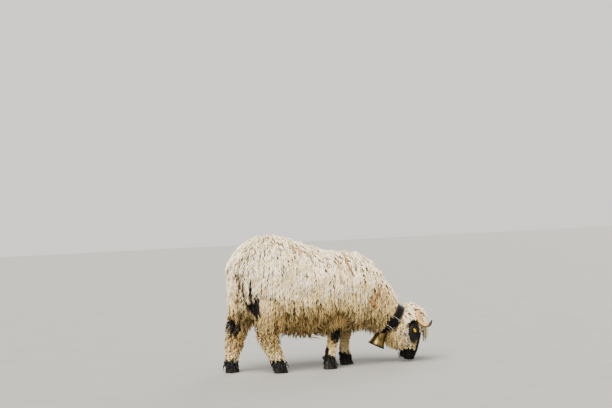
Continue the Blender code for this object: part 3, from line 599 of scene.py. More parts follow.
def black_and_shade_of(points):
    """The black markings of skin and coat, with painted shade in the groove beside the tail, 0 to 1."""
    x, y, z = points.T
    wobble = speckle(points, 26.0) * 0.5 - 0.25
    mask = np.zeros(len(points))
    for middle, reach in BLACK_PATCHES:
        far = np.linalg.norm((points - middle) / reach, axis=1)
        mask = np.maximum(mask, ramp(1.12 + wobble - far, 0.0, 0.3))
    # Painted shade: the groove beside the tail is darkened like black wool below z 0.70.
    gap = groove_share(points) * ramp(0.70 - z, 0.0, 0.16)
    mask = np.maximum(mask, 0.92 * ramp(gap + wobble * 0.4, 0.36, 0.60))
    low = 0.090 + 0.045 * np.exp(-(((x + 0.072) / 0.022) ** 2)) * (y < 0)
    mask = np.maximum(mask, ramp(low + wobble * 0.03 - z, 0.0, 0.014))
    local = in_head(points)
    at_head = (x > 0.38) & (local[:, 0] > -0.09) & (in_collar(points)[:, 0] > 0)
    a, b, c = local.T
    muzzle = ramp(a + wobble * 0.09 + 0.2 * np.maximum(c, -0.02), 0.190, 0.204)
    face = ramp(a - 0.4 * np.abs(b), 0.052, 0.072) * ramp(c, -0.012, 0.010)
    eyes = ramp(1.1 - np.linalg.norm(beside_eye(local) / (0.036, 0.05, 0.034), axis=1), 0, 0.25)
    front = np.maximum.reduce([muzzle, face, eyes, ear_share(local)])
    return np.where(at_head, np.maximum(mask * (z < 0.1), front), mask)


def stains_of(points):
    """Ochre, mud and the darkening towards the bottom on the wool, each 0 to 1; that darkening is belly
    staining with painted shade.
    """
    x, y, z = points.T
    ochre = np.zeros(len(points))
    beside = ramp(-y, -0.02, 0.05) + 0.45 * ramp(y, 0.05, 0.12)
    for a, b, reach, strength in OCHRE_STREAKS:
        ochre = np.maximum(ochre, strength * np.exp(-((near_line(x, z, [a, b]) / reach) ** 2)) * beside)
    spots = ramp(speckle(points, 70.0, 3.0), 0.50, 0.62)
    mud = np.exp(-((near_line(x, z, MUD_LINE) / 0.018) ** 2)) * spots * ramp(-y, 0.03, 0.09)
    # Darker towards the bottom, under the belly and below the head: belly staining with painted shade.
    under = ramp(0.47 + 0.10 * speckle(points, 9.0, 7.0) - z, 0.0, 0.22) * ramp(z, 0.10, 0.24)
    belly = under * ramp(0.30 - np.abs(x + 0.18), 0.0, 0.12)
    head = ramp(x, 0.42, 0.52)
    low_stain_and_shade = (0.42 * under + 0.50 * belly + 0.40 * ramp(0.66 - z, 0, 0.30)) * (1 - head)
    low_stain_and_shade = np.clip(low_stain_and_shade + head * 0.42 * ramp(0.27 - z, 0, 0.16), 0, 1)
    golden = ramp(1.2 - np.linalg.norm((points - (-0.63, 0.108, 0.21)) / (0.08, 0.08, 0.09), axis=1), 0, 0.5)
    return np.maximum(ochre, 0.35 * golden), mud, low_stain_and_shade


def mark(piece, points):
    """Stores the markings on a mesh."""
    keep_attribute(piece, "black_and_shade", black_and_shade_of(points))
    for name, values in zip(("ochre", "mud", "low_stain_and_shade"), stains_of(points)):
        keep_attribute(piece, name, values)


# Coat

# How the coat grows on one part, with its sizes in metres
Region = namedtuple("Region", "spacing length lift width wave pitch members rings spread clump curl jitter",
                    defaults=(0.6, 0.5, 0.12))
COATS = {
    "torso": Region(0.0205, 0.160, 0.046, 0.0080, 0.0038, 0.042, 7, 12, 0.0150),
    "neck": Region(0.0195, 0.115, 0.033, 0.0076, 0.0038, 0.036, 7, 10, 0.014),
    "head": Region(0.0140, 0.062, 0.028, 0.0062, 0.0040, 0.025, 6, 9, 0.0100, 0.5, 0.8, 0.35),
    "leg": Region(0.0150, 0.048, 0.016, 0.0062, 0.0036, 0.024, 5, 8, 0.0095, 0.5, 0.8, 0.35),
    "tail": Region(0.0200, 0.140, 0.026, 0.0085, 0.0044, 0.036, 6, 11, 0.014),
    "face": Region(0.0056, 0.015, 0.0030, 0.0032, 0.0, 0.02, 1, 4, 0.0, 0.0, 0.0, 0.2),
    "ear": Region(0.0070, 0.034, 0.0110, 0.0036, 0.0014, 0.02, 2, 5, 0.005, 0.5, 0.3, 0.45),
}


def scattered(skin, count, rng):
    """Random places on the skin, even by area, with their smooth normals."""
    mesh = skin.data
    mesh.calc_loop_triangles()
    tris = np.empty(len(mesh.loop_triangles) * 3, np.int32)
    mesh.loop_triangles.foreach_get("vertices", tris)
    tris = tris.reshape(-1, 3)
    co, out = places(skin), facings(skin)
    a, b, c = co[tris[:, 0]], co[tris[:, 1]], co[tris[:, 2]]
    area = np.linalg.norm(np.cross(b - a, c - a), axis=1)
    chosen = rng.choice(len(tris), count, p=area / area.sum())
    u, v = rng.random(count), rng.random(count)
    over = u + v > 1
    u[over], v[over] = 1 - u[over], 1 - v[over]
    w = np.stack([1 - u - v, u, v], axis=1)[..., None]
    return (co[tris[chosen]] * w).sum(axis=1), unit((out[tris[chosen]] * w).sum(axis=1))


def thinned(points, spacing):
    """Indices of points that keep a spacing from each other."""
    kept, cells = [], {}
    steps = (-1, 0, 1)
    for n, p in enumerate(points):
        i, j, k = (p // spacing).astype(int)
        near = [m for a in steps for b in steps for c in steps for m in cells.get((i + a, j + b, k + c), ())]
        if near and (np.linalg.norm(points[near] - p, axis=1) < spacing).any():
            continue
        kept.append(n)
        cells.setdefault((i, j, k), []).append(n)
    return np.array(kept, int)


def tree_of(*forms):
    """A search tree over the points and faces of forms."""
    return BVHTree.FromPolygons(*gathered(forms))


def sorted_regions(points):
    """The name of the part that each place on the skin belongs to."""
    local = in_head(points)
    ahead = in_collar(points)[:, 0]
    x, y, z = points.T
    forms = {"torso": tree_of(torso_form(30, 24)), "neck": tree_of(neck_form(30, 24))}
    for name, rows in {"tail": TAIL, **LEGS}.items():
        forms[name] = tree_of(limb_form(rows, 24, 12))
    names = list(forms)
    far = np.array([[forms[name].find_nearest(p)[3] for name in names] for p in points])
    region = np.array(names)[far.argmin(axis=1)]
    region = np.where(np.char.find(region, "leg") >= 0, "leg", region)
    region = np.where((region == "leg") & (z > 0.40), "torso", region)
    region = np.where((ahead > 0.0) & (x > 0.40), "head", region)
    at_head = region == "head"
    region = np.where(at_head & (black_and_shade_of(points) > 0.5), "face", region)
    region = np.where(at_head & (ear_share(local) > 0.5), "ear", region)
    return region, ahead


def draped(tree, roots, out, lie, lengths, lifts, steps, cling=0.25):
    """Middle lines of locks: out of the skin, then over the body, or straight on where they hang."""
    lines = np.empty((len(roots), steps + 1, 3))
    fall = Vector((0, 0, -1))
    for n in range(len(roots)):
        spot, normal = Vector(roots[n]), Vector(out[n])
        way = Vector(lie[n])
        stride, lift = lengths[n] / steps, lifts[n]
        lines[n, 0] = spot - normal * 0.006
        for k in range(1, steps + 1):
            high = lift * math.sin(min(2.6 * k / steps, 1) * math.pi / 2)
            spot = spot + way * stride
            near, facing, _, distance = tree.find_nearest(spot)
            away = spot - near
            away = away.normalized() if distance > 0.001 else facing
            under = away.dot(facing) < 0
            if under:
                away = -away
            if under or distance < high or away.dot(way) < cling:
                spot = near + away * high
            lines[n, k] = spot
            pull = fall * 0.6 + way * 0.7
            way = (pull - away * min(pull.dot(away), 0)).normalized()
    return lines


def read_along(lines, rings, reach):
    """Lines read at even steps up to a share of their length."""
    count, steps = lines.shape[:2]
    t = np.clip(np.linspace(0, 1, rings)[None, :] * reach[:, None], 0, 1) * (steps - 1)
    k = np.minimum(t.astype(int), steps - 2)
    f = (t - k)[..., None]
    rows = np.arange(count)[:, None]
    return lines[rows, k] * (1 - f) + lines[rows, k + 1] * f


def tuft_template(rings):
    """Faces, face sizes and flat layout of one closed, three-sided tuft that ends in a point."""
    loops, sizes, layout = [], [], []
    last = rings - 2
    for n in range(last):
        for k in range(3):
            m = (k + 1) % 3
            loops += [n * 3 + k, n * 3 + m, (n + 1) * 3 + m, (n + 1) * 3 + k]
            layout += [(k, n), (k + 1, n), (k + 1, n + 1), (k, n + 1)]
            sizes.append(4)
    tip = (last + 1) * 3
    for k in range(3):
        loops += [last * 3 + k, last * 3 + (k + 1) % 3, tip]
        layout += [(k, last), (k + 1, last), (k + 0.5, last + 1)]
        sizes.append(3)
    loops += [2, 1, 0]
    layout += [(0, 0), (1, 0), (2, 0)]
    sizes.append(3)
    flat = np.array(layout, float) / (3, rings - 1) - 0.5
    return np.array(loops), np.array(sizes), flat


def frames_along(lines, out):
    """Side and up vectors along many lines."""
    axis = unit(np.gradient(lines, axis=1))
    side = unit(np.cross(axis, np.broadcast_to(out[:, None], lines.shape)))
    return side, np.cross(side, axis)


def members_of(lines, out, region, wave, clump, rng):
    """Middle lines of the tufts in each lock, which wave together and close up to its tip."""
    guides = len(lines)
    count = region.members
    reach = rng.uniform(0.72, 1.0, (guides, count))
    own = np.repeat(lines, count, axis=0)
    own_out = np.repeat(out, count, axis=0)
    paths = read_along(own, region.rings, reach.ravel())
    side, up = frames_along(paths, own_out)
    t = np.linspace(0, 1, region.rings)
    a = rng.uniform(-1, 1, (guides, count)) * region.spread
    b = rng.uniform(-0.8, 0.35, (guides, count)) * region.spread * 0.75
    close = 1 - np.repeat(clump, count)[:, None] * t**1.3
    run = np.concatenate([np.zeros((len(paths), 1)),
                          np.cumsum(np.linalg.norm(np.diff(paths, axis=1), axis=2), axis=1)], axis=1)
    phase = np.repeat(rng.uniform(0, 2 * np.pi, guides), count) + rng.normal(0, 0.5, guides * count)
    pitch = region.pitch * np.repeat(rng.uniform(0.85, 1.2, guides), count)
    turn = 2 * np.pi * run / pitch[:, None] + phase[:, None]
    grow = np.clip(t * 3, 0, 1) * np.repeat(wave, count)[:, None]
    along_side = a.reshape(-1, 1) * close + np.sin(turn) * grow
    along_up = b.reshape(-1, 1) * close + np.cos(turn) * grow * region.curl
    return paths + side * along_side[..., None] + up * along_up[..., None], own_out


def coat_mesh(name, paths, out, widths, place, layers):
    """One mesh of closed tufts along paths, with its layout map and its markings from the roots."""
    count, rings = paths.shape[:2]
    side, up = frames_along(paths, out)
    t = np.linspace(0, 1, rings)
    size = np.minimum(1, 0.55 + 1.6 * t) * np.sqrt(np.clip(1 - t**2.2, 0, 1))
    width = widths[:, None] * size
    corners = []
    for across, high in ((-0.5, -0.16), (0.5, -0.16), (0.0, 0.30)):
        move = side * (width * across)[..., None] + up * (width * high)[..., None]
        corners.append((paths + move)[:, :-1])
    body = np.stack(corners, axis=2).reshape(count, -1, 3)
    points = np.concatenate([body, paths[:, -1:]], axis=1)
    each = points.shape[1]
    loops, sizes, flat = tuft_template(rings)
    all_loops = (loops[None] + np.arange(count)[:, None] * each).ravel()
    all_sizes = np.tile(sizes, count)
    mesh = bpy.data.meshes.new(name)
    mesh.vertices.add(count * each)
    mesh.vertices.foreach_set("co", points.astype(np.float32).ravel())
    mesh.loops.add(len(all_loops))
    mesh.loops.foreach_set("vertex_index", all_loops.astype(np.int32))
    mesh.polygons.add(len(all_sizes))
    starts = np.concatenate([[0], np.cumsum(all_sizes)[:-1]])
    mesh.polygons.foreach_set("loop_start", starts.astype(np.int32))
    mesh.polygons.foreach_set("use_smooth", [True] * len(all_sizes))
    mesh.update(calc_edges=True)
    layout = mesh.uv_layers.new(name="OFBake")
    spots = (place[:, None] + flat[None] * PATCH).reshape(-1, 2)
    layout.data.foreach_set("uv", spots.astype(np.float32).ravel())
    piece = bpy.data.objects.new(name, mesh)
    SCENE.collection.objects.link(piece)
    ring_t = np.concatenate([np.repeat(t[:-1], 3), [1.0]])
    keep_attribute(piece, "tip", np.tile(ring_t, count))
    for label, values in layers.items():
        keep_attribute(piece, label, np.repeat(values, each))
    return piece


def unwrapped(points, middle, axis):
    """Where places lie on the skin rolled flat about one axis, in the middle of the unit square."""
    axis = unit(np.array(axis, float))
    first = unit(np.cross(axis, (0.0, 1.0, 0.0)))
    second = np.cross(axis, first)
    rel = points - np.array(middle)
    turn = np.arctan2(rel @ second, rel @ first) / (2 * np.pi) + 0.5
    long = rel @ axis
    flat = np.stack([turn, long], axis=1)
    low, high = flat.min(axis=0), flat.max(axis=0)
    return 0.01 + 0.98 * (flat - low) / np.maximum(high - low, 1e-6)


def lie_of(points, out, region, rng):
    """The way each lock sets off: down the slope of the skin, with a little swirl."""
    pull = np.tile([0.0, 0.0, -1.0], (len(points), 1))
    if region == "torso":
        pull[:, 0] += -0.16 + 0.25 * ramp(points[:, 0], -0.3, 0.2)
        top = ramp(out[:, 2], 0.55, 0.95)
        pull[:, 1] += np.sign(points[:, 1]) * 0.8 * top
    swirl = np.stack([speckle(points, 7.0, s) - 0.5 for s in (11.0, 23.0, 31.0)], axis=1)
    jitter = COATS[region].jitter
    pull = pull + swirl * jitter * 4 + rng.normal(0, jitter * 0.5, pull.shape)
    flat = pull - out * (pull * out).sum(axis=1, keepdims=True)
    return unit(flat + out * 0.15)


def forelock_share(points):
    """How far places belong to the poll and the forehead, whose wool falls over the face."""
    local = in_head(points)
    return ramp(local[:, 2], 0.005, 0.04) * ramp(0.075 - np.abs(local[:, 1]), 0, 0.03)


def style_of(points, out, region):
    """Length, lift, width, wave and closeness of each lock."""
    spec = COATS[region]
    every = np.ones(len(points))
    length, lift, width = spec.length * every, spec.lift * every, spec.width * every
    wave, clump = spec.wave * every, spec.clump * every
    x, y, z = points.T
    if region == "torso":
        top, under = ramp(out[:, 2], 0.30, 0.85), ramp(-out[:, 2], 0.45, 0.85)
        rump = ramp(-x, 0.44, 0.60) * ramp(z, 0.60, 0.76)
        smooth = np.maximum(top, rump * 0.8)
        beside_tail = groove_share(points)
        length *= (1 - 0.55 * smooth) * (1 - 0.20 * under) * (1 - 0.55 * beside_tail)
        between = ramp(0.14 - np.abs(y), 0, 0.05) * ramp(-x, 0.42, 0.50) * ramp(0.66 - z, 0, 0.12)
        length *= 1 - 0.55 * between
        lift *= (1 - 0.32 * top) * (0.9 + 0.2 * speckle(points, 6.0, 2.0)) * (1 - 0.55 * beside_tail)
        width *= 1 - 0.25 * smooth
        wave *= 1 - 0.5 * smooth
        clump *= 1 - 0.65 * smooth
    if region == "head":
        front = forelock_share(points)
        length *= 1 + 0.7 * front
        lift *= 0.95 + 0.65 * front
        local = in_head(points)
        length *= 1 + 0.6 * ramp(-local[:, 2], 0.09, 0.14)
        length *= 1 - 0.50 * ramp(local[:, 0], 0.12, 0.18)
        poll = ramp(0.045 - local[:, 0], 0, 0.04)
        lift *= 1 + 0.40 * poll * ramp(0.02 - local[:, 2], 0, 0.05)
    if region == "face":
        local = in_head(points)
        beard = ramp(-local[:, 2], 0.040, 0.070) * ramp(local[:, 0], 0.17, 0.21)
        length *= 1 + 1.5 * beard
        lift *= 1 + 2.5 * beard
    if region == "leg":
        hind = ramp(-x, 0.1, 0.3)
        high = ramp(z, 0.10, 0.24)
        lift *= (0.75 + 0.55 * hind) * (0.7 + 0.65 * high * hind)
        length *= 0.8 + 0.45 * hind * high
        shaggy = ramp(0.125 - z, 0, 0.04)
        length *= 1 + 1.1 * shaggy
        lift *= 1 + 0.5 * shaggy + 0.25 * hind * high
    if region == "tail":
        length *= 1 - 0.45 * ramp(0.56 - z, 0, 0.12)
    return length, lift, width, wave, clump


def clear_of_collar(lines):
    """Shortens locks that would run over the collar."""
    local = in_collar(lines)
    inside = (np.abs(local[..., 0]) < COLLAR_WIDTH / 2 + 0.005) & (np.hypot(local[..., 1],
                                                                            local[..., 2]) < 0.15)
    steps = lines.shape[1] - 1
    first = np.where(inside.any(axis=1), np.maximum(inside.argmax(axis=1) - 0.6, 0.6), steps)
    return read_along(lines, steps + 1, first / steps)


def clear_of_horns(lines):
    """Moves wool out of the way of the horns."""
    for sign in (-1, 1):
        for x, y, z, radius in resample(HORN, 40)[6:]:
            centre = np.array(HEAD @ Vector((x, sign * y, z)))
            away = lines - centre
            far = np.linalg.norm(away, axis=2, keepdims=True)
            lines = np.where(far < radius + 0.004, centre + away / far * (radius + 0.004), lines)
    return lines


def under_horns(lines):
    """Presses wool in behind the horns, which stand out of it."""
    local = in_head(lines).reshape(-1, 3)
    horn = resample(HORN, 30)
    side = np.where(local[:, 1] > 0, 1, -1)
    for x, y, z, radius in horn:
        near = np.hypot(local[:, 0] - x, local[:, 2] - z) < radius + 0.004
        over = near & (np.abs(local[:, 1]) > y - radius)
        local[over, 1] = side[over] * np.maximum(y - radius - 0.002, 0.02)
    return moved(local, HEAD).reshape(lines.shape)


def under_ears(lines):
    """Presses wool in below the ears, which hang on it."""
    local = in_head(lines).reshape(-1, 3)
    for n in np.flatnonzero((np.abs(local[:, 1]) > 0.07) & (local[:, 0] > 0.02) & (local[:, 0] < 0.18)):
        sign = 1 if local[n, 1] > 0 else -1
        near, _, _, far = EAR_TREES[sign].find_nearest(local[n])
        if far < 0.05 and abs(near.z - local[n, 2]) < 0.012 and abs(local[n, 1]) > abs(near.y) - 0.012:
            local[n, 1] = sign * (abs(near.y) - 0.012)
    return moved(local, HEAD).reshape(lines.shape)


def grow(name, region, roots, out, tree, rng, middle, axis):
    """One coat piece."""
    spec = COATS[region]
    length, lift, width, wave, clump = style_of(roots, out, region)
    lifts = lift * rng.uniform(0.62, 1.0, len(roots))
    lengths = length * rng.uniform(0.8, 1.15, len(roots))
    steps = 3 if spec.rings < 6 else 10
    lines = draped(tree, roots, out, lie_of(roots, out, region, rng), lengths, lifts, steps,
                   0.02 if region == "head" else 0.25)
    if region in ("neck", "head", "torso"):
        lines = clear_of_collar(lines)
    if region == "head":
        lines = clear_of_horns(under_horns(under_ears(lines)))
    paths, own_out = members_of(lines, out, spec, wave, clump, rng)
    paths[..., 2] = np.maximum(paths[..., 2], 0.004)
    count = len(paths)
    own_roots = np.repeat(roots, spec.members, axis=0)
    seen = own_roots if region in ("head", "face", "ear") else paths[:, int(spec.rings * 0.6)]
    ochre, mud, low_stain_and_shade = stains_of(seen)
    tone = np.repeat(speckle(roots, 22.0, 5.0) * 0.6 + rng.random(len(roots)) * 0.4, spec.members)
    layers = {"black_and_shade": black_and_shade_of(seen), "ochre": ochre, "mud": mud, "low_stain_and_shade": low_stain_and_shade,
              "tone": np.clip(tone + rng.normal(0, 0.12, count), 0, 1)}
    if region in ("face", "ear"):
        layers["black_and_shade"] = np.ones(count)
    widths = np.repeat(width, spec.members) * rng.uniform(0.7, 1.15, count)
    jump = rng.uniform(-0.3, 0.3, (count, 2)) * spec.spacing
    place = np.clip(unwrapped(own_roots, middle, axis) + jump, 0.004, 0.996)
    piece = coat_mesh(name, paths, own_out, widths, place, layers)
    finish(piece, "wool")
    return piece


def make_coat(skin, rng):
    """The fleece and the short hair, part by part."""
    forms = [(places(skin), [tuple(p.vertices) for p in skin.data.polygons])]
    forms += [claw_form(rows[-1][0], rows[-1][1], sign) for rows in LEGS.values() for sign in (-1, 1)]
    tree = tree_of(*forms)
    points, out = scattered(skin, SAMPLES, rng)
    region, ahead = sorted_regions(points)
    clear = np.abs(ahead) > COLLAR_WIDTH / 2 + 0.003
    near_collar = np.linalg.norm(points - np.array(COLLAR_CENTRE), axis=1) < 0.13
    usable = (clear | ~near_collar) & (points[:, 2] > COAT_START)
    pieces = []
    for name, spec in COATS.items():
        here = np.flatnonzero((region == name) & usable)
        kept = here[thinned(points[here], spec.spacing)]
        if name == "face":
            kept = kept[np.linalg.norm(beside_eye(in_head(points[kept])), axis=1) > 0.019]
        for label, chosen, middle, axis in parted(name, points[kept], out[kept]):
            rows = kept[chosen]
            pieces.append(grow(label, name, points[rows], out[rows], tree, rng, middle, axis))
    return pieces


def parted(name, points, out):
    """How a part's coat is divided into pieces: name, rows, middle and axis of its unwrap."""
    x, y, z = points.T
    if name == "torso":
        middle, axis = (0, 0, 0.60), (1, 0, 0)
        top = out[:, 2] > 0.45
        rump = (x < -0.47) & ~top
        under = (out[:, 2] < -0.55) & ~rump
        left = y > 0
        side = ~top & ~rump & ~under
        return [("fleece_back_right", top & ~left, middle, axis),
                ("fleece_back_left", top & left, middle, axis),
                ("fleece_rump", rump, (-0.45, 0, 0.6), (0, 0, 1)),
                ("fleece_belly", under, middle, axis)] + [
                    ("fleece_%s_%s" % (part, hand), side & of_part & of_hand, middle, axis)
                    for part, of_part in (("flank", x < -0.15), ("shoulder", x >= -0.15))
                    for hand, of_hand in (("right", ~left), ("left", left))]
    if name == "leg":
        return [("wool_" + leg, (abs(x - rows[4][0]) < 0.13) & ((y > 0) == (rows[0][1] > 0)), rows[4][:3],
                 (0, 0, 1))
                for leg, rows in LEGS.items()]
    along_head = tuple(HEAD.to_3x3() @ Vector((1, 0, 0)))
    whole = {"neck": ("wool_neck", (0.33, 0, 0.43), (0.8, 0, -0.6)),
             "tail": ("wool_tail", (-0.655, 0, 0.55), (0, 0, 1)),
             "head": ("wool_head", tuple(HEAD @ Vector((0.05, 0, 0))), along_head),
             "face": ("hair_face", tuple(HEAD @ Vector((0.15, 0, 0))), along_head)}
    if name in whole:
        label, middle, axis = whole[name]
        return [(label, np.ones(len(points), bool), middle, axis)]
    side = np.sign(in_head(points)[:, 1])
    return [("hair_ear_" + hand, side == sign, tuple(HEAD @ Vector((0.08, sign * 0.125, -0.02))), along_head)
            for hand, sign in HANDS]


# Materials

def feed(tree, socket, value):
    """Gives a socket its value or its link."""
    if isinstance(value, bpy.types.NodeSocket):
        tree.links.new(value, socket)
    else:
        socket.default_value = value


def node(tree, kind, inputs=None, **settings):
    """A shader node with its settings and its inputs, which are values or links."""
    made = tree.nodes.new(kind)
    for key, value in settings.items():
        setattr(made, key, value)
    for key, value in (inputs or {}).items():
        feed(tree, made.inputs[key], value)
    return made


class Shading:
    """Nodes of one shader tree, added by small calls that give their outputs."""

    def __init__(self, tree):
        self.tree = tree

    def mix(self, share, first, second):
        """A blend of two colours."""
        return node(self.tree, "ShaderNodeMix", {0: share, 6: first, 7: second}, data_type="RGBA").outputs[2]

    def maths(self, how, first, second=0.0, third=0.0):
        return node(self.tree, "ShaderNodeMath", {0: first, 1: second, 2: third}, operation=how).outputs[0]

    def times(self, first, second, plus=0.0):
        return self.maths("MULTIPLY_ADD", first, second, plus)

    def span(self, value, low, high, to_low=0.0, to_high=1.0):
        """A value mapped smoothly from one span to another."""
        inputs = {0: value, 1: low, 2: high, 3: to_low, 4: to_high}
        return node(self.tree, "ShaderNodeMapRange", inputs, interpolation_type="SMOOTHSTEP").outputs[0]

    def number(self, name):
        """A number kept on the piece's own points."""
        return node(self.tree, "ShaderNodeAttribute", attribute_name=name).outputs["Fac"]

    def place(self, scale=(1, 1, 1)):
        """Object coordinates, stretched."""
        place = node(self.tree, "ShaderNodeTexCoord").outputs["Object"]
        return node(self.tree, "ShaderNodeMapping", {"Vector": place, "Scale": scale}).outputs[0]

    def noise(self, scale, place=None, **more):
        inputs = {"Vector": place or self.place(), "Scale": scale, **more}
        return node(self.tree, "ShaderNodeTexNoise", inputs).outputs[0]

    def group(self, name, **values):
        """The outputs of a shader group with its own values."""
        made = node(self.tree, "ShaderNodeGroup", node_tree=bpy.data.node_groups[name])
        for key, value in values.items():
            feed(self.tree, made.inputs[key.replace("_", " ")], value)
        return made.outputs

    def worn(self, scale, low, high):
        """The wear group."""
        return self.group("wear", Scale=scale, Low=low, High=high)


class Material(Shading):
    """A new material with constants on its Principled shader."""

    def __init__(self, name, **values):
        made = bpy.data.materials.new(name)
        made.use_nodes = True
        super().__init__(made.node_tree)
        self.shader = made.node_tree.nodes["Principled BSDF"]
        for key, value in values.items():
            self.shader.inputs[key.replace("_", " ")].default_value = value

    def finish(self, colour, roughness, height=None, strength=0.5, distance=0.001):
        """Colour, roughness and bump of the surface."""
        feed(self.tree, self.shader.inputs["Base Color"], colour)
        feed(self.tree, self.shader.inputs["Roughness"], roughness)
        if height:
            inputs = {"Height": height, "Strength": strength, "Distance": distance}
            bump = node(self.tree, "ShaderNodeBump", inputs)
            self.tree.links.new(bump.outputs[0], self.shader.inputs["Normal"])


class Group(Shading):
    """A new shader group: its given sockets, and results by name."""

    def __init__(self, name, inputs, outputs):
        tree = bpy.data.node_groups.new(name, "ShaderNodeTree")
        super().__init__(tree)
        for label, value in inputs.items():
            kind = "NodeSocketFloat" if isinstance(value, float) else "NodeSocketColor"
            tree.interface.new_socket(label, in_out="INPUT", socket_type=kind).default_value = value
        for label in outputs:
            kind = "NodeSocketColor" if label == "Color" else "NodeSocketFloat"
            tree.interface.new_socket(label, in_out="OUTPUT", socket_type=kind)
        self.given = tree.nodes.new("NodeGroupInput").outputs
        self.result = tree.nodes.new("NodeGroupOutput").inputs

    def give(self, **values):
        for label, value in values.items():
            feed(self.tree, self.result[label], value)


def wool_colour_group():
    """Clean to stained wool, its ochre, mud and black marks with painted shade beside the tail, darker
    towards the bottom from belly staining with painted shade, and darker and yellower at the roots from
    stained roots with painted shade.
    """
    colours = {"Clean": CREAM, "Flank": FLANK, "Stain and shade": STAIN_AND_SHADE, "Ochre": OCHRE, "Mud": MUD,
               "Black": BLACK, "Black tip": BLACK_TIP}
    made = Group("wool_colour", {**colours, "Root depth": 0.5}, ["Color", "Roughness", "Black"])
    tone, tip, low_stain_and_shade, black_and_shade = [made.number(name) for name in ("tone", "tip", "low_stain_and_shade", "black_and_shade")]
    given = made.given
    cloud = made.noise(14.0, Detail=3.0)
    # The darkening towards the bottom, belly staining with painted shade, turns clean wool to the flank and
    # stained colours.
    blotch_stain_and_shade = made.times(made.span(cloud, 0.35, 0.7), 0.45, low_stain_and_shade)
    flank = made.mix(made.span(blotch_stain_and_shade, 0.0, 0.7), given["Clean"], given["Flank"])
    tone_stain_and_shade = made.span(made.times(tone, 0.30, low_stain_and_shade), 0.55, 1.15)
    grey = made.mix(tone_stain_and_shade, flank, given["Stain and shade"])
    # Painted shade at the roots of the tufts, together with their yellow staining.
    depth = made.times(made.span(tip, 0.75, 0.0), given["Root depth"])
    root_shaded = made.mix(depth, grey, given["Stain and shade"])
    ochre = made.times(made.number("ochre"), made.times(tone, 0.9, 0.45))
    warm = made.mix(made.maths("MINIMUM", ochre, 0.92), root_shaded, given["Ochre"])
    dull = made.mix(made.times(made.maths("SUBTRACT", 1.0, tone), 0.18), warm, given["Stain and shade"])
    muddy = made.mix(made.times(made.number("mud"), 0.85), dull, given["Mud"])
    dark = made.mix(made.times(tip, 0.45), given["Black"], given["Black tip"])
    made.give(Color=made.mix(black_and_shade, muddy, dark), Roughness=made.times(black_and_shade, -0.28, 0.86), Black=black_and_shade)


def fibres_group():
    """Fine hairs that run along the fall of the coat, as a height and a mask."""
    made = Group("fibres", {"Scale": 300.0, "Stretch": 0.12}, ["Height", "Mask"])
    place = node(made.tree, "ShaderNodeTexCoord").outputs["Object"]
    scale = node(made.tree, "ShaderNodeCombineXYZ", {0: 1.0, 1: 1.0, 2: made.given["Stretch"]}).outputs[0]
    long = node(made.tree, "ShaderNodeVectorMath", {0: place, 1: scale}, operation="MULTIPLY").outputs[0]
    fine = made.noise(made.given["Scale"], long, Detail=3.0, Roughness=0.6)
    made.give(Height=fine, Mask=made.span(fine, 0.40, 0.62))


def wear_group():
    """Patchy wear and dust, a mask from 0 to 1, and a finer height."""
    made = Group("wear", {"Scale": 40.0, "Low": 0.45, "High": 0.65}, ["Mask", "Fine"])
    given = made.given
    rough = made.noise(given["Scale"], Detail=6.0, Roughness=0.65)
    fine = made.noise(made.times(given["Scale"], 9.0), Detail=3.0)
    made.give(Mask=made.span(rough, given["Low"], given["High"]), Fine=fine)


def grain_group():
    """Pebbled grain of leather, as a height."""
    made = Group("grain", {"Scale": 500.0}, ["Height"])
    inputs = {"Vector": made.place(), "Scale": made.given["Scale"]}
    cells = node(made.tree, "ShaderNodeTexVoronoi", inputs, feature="SMOOTH_F1").outputs["Distance"]
    folds = made.noise(made.times(made.given["Scale"], 0.25), Detail=4.0)
    made.give(Height=made.times(folds, 0.7, cells))


def wool_material():
    made = Material("wool", Sheen_Weight=0.15, Sheen_Roughness=0.45, Specular_IOR_Level=0.25)
    wool = made.group("wool_colour", Root_depth=0.24)
    hairs = made.group("fibres", Scale=520.0, Stretch=0.10)
    shade = made.mix(made.times(hairs["Mask"], 0.10), wool["Color"], STAIN_AND_SHADE)
    colour = made.mix(wool["Black"], shade, wool["Color"])
    made.finish(colour, wool["Roughness"], hairs["Height"], 0.55, 0.0012)


def skin_material():
    made = Material("hide", Sheen_Weight=0.12, Sheen_Roughness=0.4, Specular_IOR_Level=0.3)
    wool = made.group("wool_colour", Root_depth=0.35)
    hairs = made.group("fibres", Scale=650.0, Stretch=0.16)
    lit = made.mix(made.times(hairs["Mask"], 0.5), wool["Color"], BLACK_TIP)
    made.finish(made.mix(wool["Black"], wool["Color"], lit), 0.66, hairs["Height"], 0.6, 0.0010)


def horn_material():
    made = Material("horn_growth", Coat_Weight=0.08, Coat_Roughness=0.35)
    along, under = made.number("along"), made.number("under")
    wear = made.worn(38.0, 0.42, 0.66)
    pale, brown, dark = paint(196, 160, 104), paint(124, 88, 48), paint(38, 28, 22)
    rings = made.times(made.maths("SINE", made.times(along, 150.0)), 0.5, 0.5)
    base = made.mix(made.times(rings, 0.5), pale, brown)
    stained = made.mix(made.times(wear["Mask"], 0.5), base, brown)
    # Painted shade on the horn's lower side, from the under mark.
    shaded = made.mix(made.times(under, 0.85), stained, dark)
    tip = made.mix(made.span(along, 0.66, 0.92), shaded, dark)
    grooves = made.times(wear["Fine"], 0.5, rings)
    made.finish(tip, made.times(wear["Mask"], 0.2, 0.42), grooves, 0.5, 0.0012)


